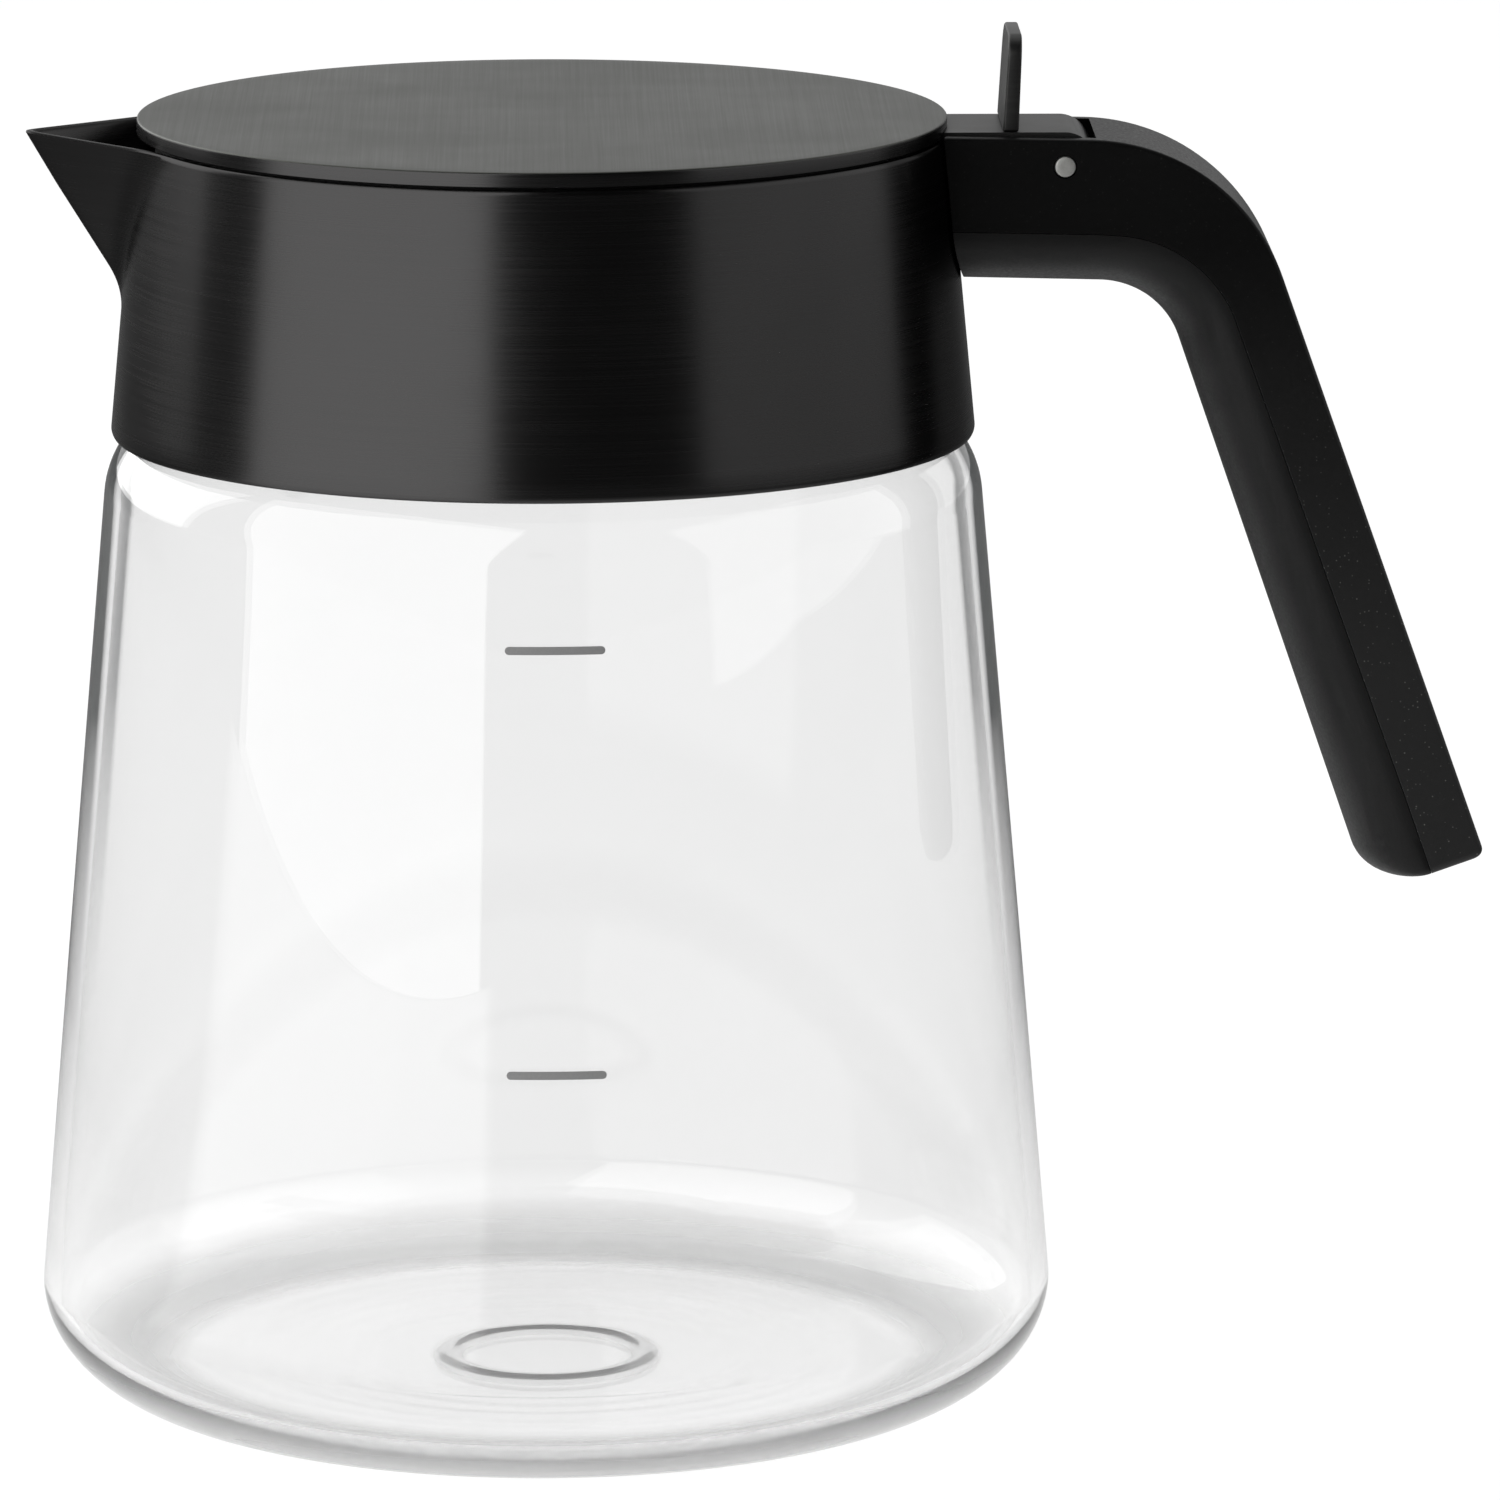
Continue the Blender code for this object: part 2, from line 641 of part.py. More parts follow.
def make_screw(name, head_top, direction, length):
    """A socket screw: its head's top at one point, its shank along a direction."""
    turn = Vector(direction).to_track_quat('-Z', 'Y')
    profile = [(0.0, 0.0), (SCREW_HEAD_RADIUS - 0.0003, 0.0),
               (SCREW_HEAD_RADIUS, -0.0003), (SCREW_HEAD_RADIUS, -SCREW_HEAD_HEIGHT),
               (SCREW_SHANK_RADIUS, -SCREW_HEAD_HEIGHT), (SCREW_SHANK_RADIUS, -length + 0.0004),
               (SCREW_SHANK_RADIUS - 0.0004, -length), (0.0, -length)]
    thing = turned(name, profile, BRIGHT_STEEL, SMALL_STEPS)
    socket = cylinder(f"{name}_socket", (0.0, 0.0, -SCREW_SOCKET_DEPTH), (0.0, 0.0, 0.001),
                      SCREW_SOCKET_RADIUS, steps=6)
    for piece in (thing, socket):
        piece.location = head_top
        piece.rotation_mode = 'QUATERNION'
        piece.rotation_quaternion = turn
    cut(thing, socket)
    return thing


def make_deck_screws():
    for side, y in deck_screw_places():
        make_screw(f"deck_screw_{side}", (DECK_SCREW_X, y, DECK_TOP - GAP / 2), (0.0, 0.0, -1.0),
                   DECK_TOP - TONGUE_BOTTOM)


def make_hinge_pin():
    return shade(cylinder("hinge_pin", (PIN_X, -HANDLE_HALF_WIDTH, PIN_Z),
                          (PIN_X, HANDLE_HALF_WIDTH, PIN_Z), PIN_RADIUS, BRIGHT_STEEL))


def make_arm_bumper():
    front, rear, half = 0.0506, 0.0540, 0.006
    thing = box("arm_bumper", (front, -half, DECK_TOP + GAP),
                (rear, half, ARM_BOTTOM - GAP), SILICONE)
    edges = thing.modifiers.new("edges", 'BEVEL')
    edges.width = 0.0005
    edges.segments = 2
    return thing


# ---- Lid ----

def make_lid_disc():
    edge = 0.0003
    inside = LID_TOP - LID_SHEET
    profile = [(0.0, LID_TOP), (LID_RADIUS - edge, LID_TOP), (LID_RADIUS, LID_TOP - edge),
               (LID_RADIUS, LID_RIM_BOTTOM), (LID_RADIUS - LID_SHEET, LID_RIM_BOTTOM),
               (LID_RADIUS - LID_SHEET, inside), (0.0, inside)]
    thing = turned("lid_disc", profile, LID_STEEL)
    half = ARM_HALF_WIDTH + 0.0004
    cut(thing, box("rim_notch", (0.040, -half, LID_RIM_BOTTOM - 0.001),
                   (0.052, half, ARM_TOP + 0.0002)))
    return thing


def make_lid_arm():
    knuckle = arc((PIN_X, PIN_Z), KNUCKLE_RADIUS, KNUCKLE_RADIUS, math.pi / 2,
                  -math.pi + math.asin(-(ARM_BOTTOM - PIN_Z) / KNUCKLE_RADIUS), 16)
    outline = [(ARM_FRONT_X, ARM_TOP)] + [(x, min(z, ARM_TOP)) for x, z in knuckle]
    outline.append((ARM_FRONT_X, ARM_BOTTOM))
    facet = 2.0 * math.pi / SMALL_STEPS
    bore = arc((PIN_X, PIN_Z), PIN_BORE_RADIUS, PIN_BORE_RADIUS, 0.0,
               2.0 * math.pi - facet, SMALL_STEPS - 1)
    thing = plate("lid_arm", [outline, bore], ARM_HALF_WIDTH, LID_STEEL)
    for index, x in enumerate(LID_SCREW_XS):
        cut(thing, cylinder(f"arm_hole_{index}", (x, 0.0, ARM_BOTTOM - 0.001),
                            (x, 0.0, ARM_TOP + 0.001), SCREW_HOLE_RADIUS))
    return shade(thing)


def lever_front_x(height):
    return LEVER_FRONT_X + (height - ARM_TOP) * math.tan(LEVER_LEAN)


def make_thumb_lever():
    """A plate across the arm. It leans back and thins slightly towards its top."""
    bottom = ARM_TOP + GAP
    corner = LEVER_TOP - LEVER_CORNER
    side = ARM_HALF_WIDTH - LEVER_CORNER
    outline = [(-ARM_HALF_WIDTH, bottom), (ARM_HALF_WIDTH, bottom)]
    outline += arc((side, corner), LEVER_CORNER, LEVER_CORNER, 0.0, math.pi / 2, 5)
    outline += arc((-side, corner), LEVER_CORNER, LEVER_CORNER, math.pi / 2, math.pi, 5)
    rings = []
    for rear in (0.0, 1.0):
        ring = []
        for y, height in outline:
            rise = (height - bottom) / (LEVER_TOP - bottom)
            thickness = LEVER_BASE_THICKNESS + (LEVER_TOP_THICKNESS - LEVER_BASE_THICKNESS) * rise
            ring.append((lever_front_x(height) + rear * thickness, y, height))
        rings.append(ring)
    return shade(loft("thumb_lever", rings, LID_STEEL))


def make_lid_insert():
    inner = INSERT_RADIUS - INSERT_WALL
    floor = INSERT_BOTTOM + INSERT_FLOOR
    edge = 0.0008
    groove_low, groove_high = GASKET_BOTTOM - GAP, GASKET_TOP + GAP
    profile = [(0.0, floor), (inner, floor), (inner, INSERT_TOP), (INSERT_RADIUS, INSERT_TOP),
               (INSERT_RADIUS, groove_high), (GASKET_GROOVE_RADIUS, groove_high),
               (GASKET_GROOVE_RADIUS, groove_low), (INSERT_RADIUS, groove_low),
               (INSERT_RADIUS, INSERT_BOTTOM + edge), (INSERT_RADIUS - edge, INSERT_BOTTOM),
               (0.0, INSERT_BOTTOM)]
    thing = turned("lid_insert", profile, INNER_PLASTIC)
    half = ARM_HALF_WIDTH + 0.0004
    cut(thing, box("arm_channel", (0.030, -half, ARM_BOTTOM - 0.00035), (0.052, half, 0.158)))
    for index, x in enumerate(LID_SCREW_XS):
        join(thing, cylinder(f"stud_{index}", (x, 0.0, floor - 0.001),
                             (x, 0.0, ARM_BOTTOM - GAP), BOSS_RADIUS))
        cut(thing, cylinder(f"stud_hole_{index}", (x, 0.0, INSERT_BOTTOM - 0.001),
                            (x, 0.0, ARM_BOTTOM + 0.001), SCREW_HOLE_RADIUS))
        cut(thing, cylinder(f"stud_seat_{index}", (x, 0.0, INSERT_BOTTOM - 0.001),
                            (x, 0.0, INSERT_BOTTOM + SCREW_HEAD_HEIGHT + GAP), HEAD_SEAT_RADIUS))
    return thing


def make_lid_gasket():
    inner = GASKET_GROOVE_RADIUS + GAP
    middle = (GASKET_TOP + GASKET_BOTTOM) / 2
    profile = [(inner, GASKET_TOP), (GASKET_RADIUS - 0.0006, GASKET_TOP),
               (GASKET_RADIUS, middle), (GASKET_RADIUS - 0.0006, GASKET_BOTTOM),
               (inner, GASKET_BOTTOM)]
    return turned("lid_gasket", profile, SILICONE)


def make_lid_screws():
    for index, x in enumerate(LID_SCREW_XS):
        make_screw(f"lid_screw_{index + 1}", (x, 0.0, INSERT_BOTTOM + GAP / 2), (0.0, 0.0, 1.0),
                   ARM_TOP - INSERT_BOTTOM - 0.0006)


def put_on_hinge():
    """Everything on the lid turns with an empty on the pin's axis."""
    hinge = bpy.data.objects.new("lid_hinge", None)
    hinge.location = (PIN_X, 0.0, PIN_Z)
    PARTS.objects.link(hinge)
    names = ["lid_disc", "lid_arm", "thumb_lever", "lid_insert", "lid_gasket"]
    names += [f"lid_screw_{index + 1}" for index in range(len(LID_SCREW_XS))]
    for name in names:
        thing = bpy.data.objects[name]
        thing.parent = hinge
        thing.matrix_parent_inverse = Matrix.Translation(hinge.location).inverted()


make_glass()
make_collar()
make_neck_gasket()
make_neck_ring()
make_pour_seal()
make_handle_outer()
make_handle_inner()
make_bracket()
make_deck_screws()
make_hinge_pin()
make_arm_bumper()
make_lid_disc()
make_lid_arm()
make_thumb_lever()
make_lid_insert()
make_lid_gasket()
make_lid_screws()
put_on_hinge()
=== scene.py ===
import math

import bmesh
import bpy
from mathutils import Matrix, Vector


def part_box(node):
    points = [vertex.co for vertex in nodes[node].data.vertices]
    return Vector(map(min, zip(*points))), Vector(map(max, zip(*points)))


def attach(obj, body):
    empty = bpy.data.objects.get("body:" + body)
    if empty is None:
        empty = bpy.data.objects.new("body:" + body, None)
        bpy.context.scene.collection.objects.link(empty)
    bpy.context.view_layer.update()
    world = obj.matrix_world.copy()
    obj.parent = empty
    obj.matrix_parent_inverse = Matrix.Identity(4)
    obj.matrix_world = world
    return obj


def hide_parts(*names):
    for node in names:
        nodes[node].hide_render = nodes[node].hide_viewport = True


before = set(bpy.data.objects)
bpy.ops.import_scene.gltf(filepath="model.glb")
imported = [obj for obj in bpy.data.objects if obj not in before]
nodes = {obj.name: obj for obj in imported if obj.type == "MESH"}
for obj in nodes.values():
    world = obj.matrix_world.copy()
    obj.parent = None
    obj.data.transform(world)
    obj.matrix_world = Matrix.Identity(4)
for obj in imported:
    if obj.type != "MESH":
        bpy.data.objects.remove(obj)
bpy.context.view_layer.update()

mm = 0.001
print("frame loaded:", len(nodes), "nodes")


# ---- materials ----
def linear(hexCode):
    channels = [int(hexCode[i:i + 2], 16) / 255 for i in (0, 2, 4)]
    return [c / 12.92 if c <= 0.04045 else ((c + 0.055) / 1.055) ** 2.4 for c in channels] + [1.0]


def addNode(tree, kind, links=None, **settings):
    node = tree.nodes.new(kind)
    for name, value in settings.items():
        setattr(node, name, value)
    for socket, value in (links or {}).items():
        if isinstance(value, bpy.types.NodeSocket):
            tree.links.new(value, node.inputs[socket])
        else:
            node.inputs[socket].default_value = value
    return node


def newMaterial(name, **sockets):
    material = bpy.data.materials.new(name)
    material.use_nodes = True
    tree = material.node_tree
    shader = tree.nodes["Principled BSDF"]
    for socket, value in sockets.items():
        shader.inputs[socket.replace("_", " ")].default_value = value
    return material, tree, shader


def objectPlace(tree):
    return addNode(tree, "ShaderNodeTexCoord").outputs["Object"]


def noise(tree, place, scale, detail=3.0, roughness=0.55):
    return addNode(tree, "ShaderNodeTexNoise", {
        "Vector": place, "Scale": scale, "Detail": detail, "Roughness": roughness}).outputs["Fac"]


def spread(tree, value, low, high, fromLow=0.3, fromHigh=0.7):
    return addNode(tree, "ShaderNodeMapRange", {
        "Value": value, "From Min": fromLow, "From Max": fromHigh,
        "To Min": low, "To Max": high}).outputs["Result"]


def colorBetween(tree, factor, first, second):
    # the first color is a hex value or a socket
    first = linear(first) if isinstance(first, str) else first
    return addNode(tree, "ShaderNodeMix", {"Factor": factor, "A": first, "B": linear(second)},
                   data_type="RGBA").outputs["Result"]


def addBump(tree, shader, height, depthMm, strength):
    bump = addNode(tree, "ShaderNodeBump", {
        "Height": height, "Distance": depthMm * mm, "Strength": strength})
    tree.links.new(bump.outputs["Normal"], shader.inputs["Normal"])


def stretched(tree, *sizesMm):
    # object coordinates in steps of the given size along x, y and z
    return addNode(tree, "ShaderNodeMapping", {
        "Vector": objectPlace(tree),
        "Scale": [1 / (size * mm) for size in sizesMm]}).outputs["Vector"]


def brushedSteel(name, sizesMm, dark, light, roughness, tint, tangent=None, anisotropy=0.0):
    # stainless steel brushed with a fine belt, then coated black: dark satin with streaks
    material, tree, shader = newMaterial(name, Metallic=1.0, Specular_Tint=linear(tint))
    streaks = noise(tree, stretched(tree, *sizesMm), 1.0, 4.0, 0.6)
    tree.links.new(colorBetween(tree, streaks, dark, light), shader.inputs["Base Color"])
    cloud = noise(tree, objectPlace(tree), 60.0, 2.0)       # handling marks about 16 mm wide
    rough = addNode(tree, "ShaderNodeMath", {
        0: spread(tree, streaks, roughness - 0.03, roughness + 0.03),
        1: spread(tree, cloud, -0.02, 0.03)}, operation="ADD")
    tree.links.new(rough.outputs["Value"], shader.inputs["Roughness"])
    addBump(tree, shader, streaks, 0.012, 0.10)
    if tangent:
        shader.inputs["Anisotropic"].default_value = anisotropy
        shader.inputs["Anisotropic Rotation"].default_value = 0.25   # gloss spreads across the streaks
        turn = addNode(tree, "ShaderNodeTangent", direction_type="RADIAL", axis=tangent)
        tree.links.new(turn.outputs["Tangent"], shader.inputs["Tangent"])
    return material


# heights are in metres above the foot
# low and the pale tone paint the grip's lower part lighter, a painted light; the specks are dust
dustAndPaintedLightSize = {"low": (0.090, 0.130), "gloss": (0.3, 0.13), "glossFade": (0.128, 0.142), "bloom": "282828",
            "speck": "62625f", "speckMm": 0.5, "speckEdge": (0.14, 0.22), "speckShare": (0.60, 0.95)}


def mouldedPlastic(name, color, lighter, roughness, grainMm, specks=False):
    # glass-filled nylon from a spark-eroded mould: fine even grain, matt, with a little dust
    size = dustAndPaintedLightSize
    material, tree, shader = newMaterial(name, IOR=1.47, Specular_IOR_Level=size["gloss"][0])
    place = objectPlace(tree)
    grain = noise(tree, place, 1 / (grainMm * mm), 2.0)
    cloud = noise(tree, place, 45.0, 3.0)
    factor = spread(tree, cloud, 0.0, 1.0)
    base = colorBetween(tree, factor, color, lighter)
    if specks:
        # the grip is dustier than the arm, with dust specks on its lower part, and handling has polished
        # it; that lower part is also painted lighter, a painted light where it catches more light
        height = addNode(tree, "ShaderNodeSeparateXYZ", {"Vector": place}).outputs["Z"]
        low = spread(tree, height, 1.0, 0.1, *size["low"])
        tree.links.new(spread(tree, height, *size["gloss"], *size["glossFade"]),
                       shader.inputs["Specular IOR Level"])
        # painted light: the lower grip is blended towards a lighter tone
        base = colorBetween(tree, low, base, size["bloom"])
        cells = addNode(tree, "ShaderNodeTexVoronoi", {
            "Vector": place, "Scale": 1 / (size["speckMm"] * mm)})
        near = spread(tree, cells.outputs["Distance"], 1.0, 0.0, *size["speckEdge"])
        chosen = addNode(tree, "ShaderNodeSeparateColor", {"Color": cells.outputs["Color"]})
        rare = spread(tree, chosen.outputs["Red"], 0.0, 1.0, *size["speckShare"])
        worn = addNode(tree, "ShaderNodeMath", {0: near, 1: rare}, operation="MULTIPLY")
        both = addNode(tree, "ShaderNodeMath", {0: worn.outputs["Value"], 1: low}, operation="MULTIPLY")
        base = colorBetween(tree, both.outputs["Value"], base, size["speck"])
    tree.links.new(base, shader.inputs["Base Color"])
    tree.links.new(spread(tree, grain, roughness - 0.07, roughness + 0.07), shader.inputs["Roughness"])
    addBump(tree, shader, grain, 0.02, 0.5)
    return material


def turnedSteel(name, color, roughness, spacingMm):
    # bright stainless steel, turned or cold headed: fine rings and a soft shine
    material, tree, shader = newMaterial(name, Metallic=1.0)
    lines = noise(tree, objectPlace(tree), 1 / (spacingMm * mm), 3.0)
    tree.links.new(colorBetween(tree, lines, color, "b9b9b6"), shader.inputs["Base Color"])
    tree.links.new(spread(tree, lines, roughness - 0.06, roughness + 0.08), shader.inputs["Roughness"])
    addBump(tree, shader, lines, 0.01, 0.4)
    return material


def castSilicone():
    # moulded silicone rubber: dull black with a dusty bloom
    material, tree, shader = newMaterial("mouldedSilicone", IOR=1.41, Sheen_Weight=0.15)
    place = objectPlace(tree)
    bloom = noise(tree, place, 140.0, 3.0)
    tree.links.new(colorBetween(tree, bloom, "0c0c0c", "1a1a1a"), shader.inputs["Base Color"])
    tree.links.new(spread(tree, bloom, 0.6, 0.8), shader.inputs["Roughness"])
    addBump(tree, shader, noise(tree, place, 2500.0), 0.015, 0.4)
    return material


# radii and heights are in metres; rimStart and rimEnd say how far the wall turns from the eye, 0 to 1
glassSize = {"rimStart": (0.75, 0.79), "rimEnd": (0.94, 0.97), "rimHeight": (0.045, 0.085),
             "footRadius": (0.044, 0.050), "footHeight": (0.002, 0.008), "footMilk": 0.5,
             "buttonRadius": 0.0122, "buttonHalf": (0.0013, 0.0023), "buttonMilk": 0.3}


def blownGlass():
    # borosilicate glass blown into a turned mould: clear, with long shallow waves
    size = glassSize
    material, tree, shader = newMaterial("blownBorosilicateGlass", Transmission_Weight=1.0,
                                         IOR=1.47, Roughness=0.0)
    place = objectPlace(tree)
    waves = noise(tree, place, 55.0, 1.0)
    # painted shade: where the wall is seen edge on near the outline, its upper part is painted with a dark
    # line
    edge = addNode(tree, "ShaderNodeLayerWeight", {"Blend": 0.5}).outputs["Facing"]
    parts = addNode(tree, "ShaderNodeSeparateXYZ", {"Vector": place})
    height = spread(tree, parts.outputs["Z"], 0.0, 1.0, *size["rimHeight"])
    rim = addNode(tree, "ShaderNodeMath", {
        0: spread(tree, edge, 0.0, 1.0, *size["rimStart"]),
        1: spread(tree, edge, 1.0, 0.0, *size["rimEnd"])}, operation="MULTIPLY").outputs["Value"]
    shade = addNode(tree, "ShaderNodeMath", {0: rim, 1: height}, operation="MULTIPLY")
    tree.links.new(colorBetween(tree, shade.outputs["Value"], "f7f7f7", "202222"),
                   shader.inputs["Base Color"])
    # the foot's outer edge is fire polished; it is also painted a little milky, a painted light for the
    # light trapped in the glass there
    flat = addNode(tree, "ShaderNodeVectorMath", {0: place, 1: (1.0, 1.0, 0.0)},
                   operation="MULTIPLY").outputs["Vector"]
    radius = addNode(tree, "ShaderNodeVectorMath", {0: flat}, operation="LENGTH").outputs["Value"]
    paintedFootLight = addNode(tree, "ShaderNodeMath", {
        0: spread(tree, radius, 0.0, 1.0, *size["footRadius"]),
        1: spread(tree, parts.outputs["Z"], size["footMilk"], 0.0, *size["footHeight"])},
        operation="MULTIPLY")
    # the button pressed into the floor is painted milky too, a painted highlight along its ring
    offset = addNode(tree, "ShaderNodeMath", {0: radius, 1: size["buttonRadius"]}, operation="SUBTRACT")
    offset = addNode(tree, "ShaderNodeMath", {0: offset.outputs["Value"]}, operation="ABSOLUTE")
    button = spread(tree, offset.outputs["Value"], size["buttonMilk"], 0.0, *size["buttonHalf"])
    paintedGlassLight = addNode(tree, "ShaderNodeMath", {0: paintedFootLight.outputs["Value"], 1: button}, operation="MAXIMUM")
    tree.links.new(spread(tree, paintedGlassLight.outputs["Value"], 1.0, 0.0, 0.0, 1.0),
                   shader.inputs["Transmission Weight"])
    addBump(tree, shader, waves, 0.02, 0.15)
    return material


def printedInk():
    # fired enamel ink, screen printed: dark grey with a slightly uneven film
    material, tree, shader = newMaterial("printedEnamelInk", IOR=1.5)
    film = noise(tree, objectPlace(tree), 4000.0, 2.0)
    tree.links.new(colorBetween(tree, film, "8a8a8a", "9a9a9a"), shader.inputs["Base Color"])
    tree.links.new(spread(tree, film, 0.45, 0.6), shader.inputs["Roughness"])
    addBump(tree, shader, film, 0.005, 0.3)
    return material


glass = blownGlass()
collarSteel = brushedSteel("blackBrushedSteel", (40.0, 40.0, 0.2), "414141", "474646", 0.26,
                           "c4c4c4", "Z", 0.6)
# the lid top's grey is a painted reflection: the black brushed steel painted lighter where its top reflects
# the light
paintedLightLidSteel = brushedSteel("paintedLightBrushedSteel", (0.25, 45.0, 45.0), "4f514d", "585955", 0.40, "ffffff")
leverSteel = brushedSteel("leverBrushedSteel", (12.0, 12.0, 0.25), "3c3c3c", "4a4a49", 0.42, "ffffff")
backPlastic = mouldedPlastic("mouldedNylonBack", "050505", "0b0b0b", 0.38, 0.35, specks=True)
bellyPlastic = mouldedPlastic("mouldedNylonBelly", "0a0a0a", "101010", 0.46, 0.35)
innerPlastic = mouldedPlastic("mouldedPolypropylene", "1a1a1a", "232323", 0.45, 0.5)
pinSteel = turnedSteel("turnedPinSteel", "d0d0cc", 0.50, 0.35)
screwSteel = turnedSteel("coldHeadedScrewSteel", "8a8a87", 0.36, 0.4)
stampedSteel = turnedSteel("stampedBracketSteel", "80807e", 0.42, 0.8)
silicone = castSilicone()
ink = printedInk()
print("materials made")


# ---- shapes ----
def arc(center, radiusX, radiusZ, start, end, steps):
    angles = [math.radians(start + (end - start) * i / steps) for i in range(steps + 1)]
    return [(center[0] + radiusX * math.cos(a), center[1] + radiusZ * math.sin(a)) for a in angles]


def linkPiece(name, mesh, material=None):
    piece = bpy.data.objects.new(name, mesh)
    bpy.context.scene.collection.objects.link(piece)
    if material:
        mesh.materials.clear()
        mesh.materials.append(material)
    return piece


def meshFrom(name, shape):
    mesh = bpy.data.meshes.new(name)
    shape.to_mesh(mesh)
    shape.free()
    return mesh


def applyModifiers(piece):
    graph = bpy.context.evaluated_depsgraph_get()
    mesh = bpy.data.meshes.new_from_object(piece.evaluated_get(graph))
    piece.modifiers.clear()
    piece.data = mesh


def smoothen(piece, sharpAngle):
    piece.data.shade_smooth()
    piece.data.set_sharp_from_angle(angle=math.radians(sharpAngle))


def bakeModifiers(piece, sharpAngle=32.0, even=False):
    applyModifiers(piece)
    piece.data.name = piece.name
    smoothen(piece, sharpAngle)
    if even:
        # flat faces keep flat normals beside their rounded edges
        flatter = piece.modifiers.new("even", "WEIGHTED_NORMAL")
        flatter.keep_sharp = True
        applyModifiers(piece)
    return piece


def coatWith(piece, *materials):
    piece.data.materials.clear()
    for material in materials:
        piece.data.materials.append(material)
    return piece


def finishPiece(piece, body, slot, *replaced):
    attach(piece, body)
    if replaced:
        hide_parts(*replaced)


def cutWith(piece, *cutters, operation="DIFFERENCE"):
    for cutter in cutters:
        boolean = piece.modifiers.new(cutter.name, "BOOLEAN")
        boolean.operation = operation
        boolean.solver = "EXACT"
        boolean.object = cutter
    applyModifiers(piece)
    for cutter in cutters:
        bpy.data.objects.remove(cutter)


def joinWith(piece, *others):
    cutWith(piece, *others, operation="UNION")


def roundEdges(piece, widthMm, segments=3, angle=35.0):
    bevel = piece.modifiers.new("edges", "BEVEL")
    bevel.width = widthMm * mm
    bevel.segments = segments
    bevel.limit_method = "ANGLE"
    bevel.angle_limit = math.radians(angle)
    bevel.harden_normals = False


def boxCutter(name, low, high):
    shape = bmesh.new()
    bmesh.ops.create_cube(shape, size=1.0)
    low, high = Vector(low) * mm, Vector(high) * mm
    bmesh.ops.scale(shape, vec=high - low, verts=shape.verts)
    bmesh.ops.translate(shape, vec=(low + high) / 2, verts=shape.verts)
    return linkPiece(name, meshFrom(name, shape))


def rodCutter(name, start, end, radius, steps=48):
    shape = bmesh.new()
    start, end = Vector(start) * mm, Vector(end) * mm
    along = end - start
    turn = along.to_track_quat("Z", "Y").to_matrix().to_4x4()
    bmesh.ops.create_cone(shape, cap_ends=True, segments=steps, radius1=radius * mm,
                          radius2=radius * mm, depth=along.length,
                          matrix=Matrix.Translation((start + end) / 2) @ turn)
    return linkPiece(name, meshFrom(name, shape))


def bridge(shape, rows, following):
    # quads from each closed row of vertices to the one that follows it
    count = len(rows[0])
    for first, second in zip(rows, following):
        for i in range(count):
            j = (i + 1) % count
            shape.faces.new((first[i], first[j], second[j], second[i]))


def slab(name, outline, halfWidth, material=None):
    shape = bmesh.new()
    sides = [[shape.verts.new((x * mm, y * mm, z * mm)) for x, z in outline]
             for y in (-halfWidth, halfWidth)]
    shape.faces.new(sides[0])
    shape.faces.new(list(reversed(sides[1])))
    bridge(shape, sides[:1], sides[1:])
    bmesh.ops.recalc_face_normals(shape, faces=shape.faces)
    return linkPiece(name, meshFrom(name, shape), material)


def loft(name, rings, material):
    shape = bmesh.new()
    verts = [[shape.verts.new(point) for point in ring] for ring in rings]
    bridge(shape, verts, verts[1:])
    shape.faces.new(list(reversed(verts[0])))
    shape.faces.new(verts[-1])
    bmesh.ops.recalc_face_normals(shape, faces=shape.faces)
    return linkPiece(name, meshFrom(name, shape), material)


# ---- Geometry Nodes: trees that grow a piece from a few points ----
def startTree(name, inputs, kind):
    tree = bpy.data.node_groups.new(name, "GeometryNodeTree")
    sockets = tree.interface
    sockets.new_socket("Geometry", in_out="INPUT", socket_type="NodeSocketGeometry")
    for item in inputs:
        sockets.new_socket(item, in_out="INPUT", socket_type=kind)
    sockets.new_socket("Material", in_out="INPUT", socket_type="NodeSocketMaterial")
    sockets.new_socket("Geometry", in_out="OUTPUT", socket_type="NodeSocketGeometry")
    return tree, addNode(tree, "NodeGroupInput").outputs


def endTree(tree, given, geometry):
    real = addNode(tree, "GeometryNodeRealizeInstances", {"Geometry": geometry})
    coated = addNode(tree, "GeometryNodeSetMaterial", {
        "Geometry": real.outputs["Geometry"], "Material": given["Material"]})
    addNode(tree, "NodeGroupOutput", {"Geometry": coated.outputs["Geometry"]})
    return tree


def grownPiece(name, points, edges, tree, **values):
    mesh = bpy.data.meshes.new(name)
    mesh.from_pydata(points, edges, [])
    piece = linkPiece(name, mesh)
    modifier = piece.modifiers.new("grown", "NODES")
    modifier.node_group = tree
    for item in tree.interface.items_tree:
        if item.in_out == "INPUT" and item.name.replace(" ", "") in values:
            modifier[item.identifier] = values[item.name.replace(" ", "")]
    return piece


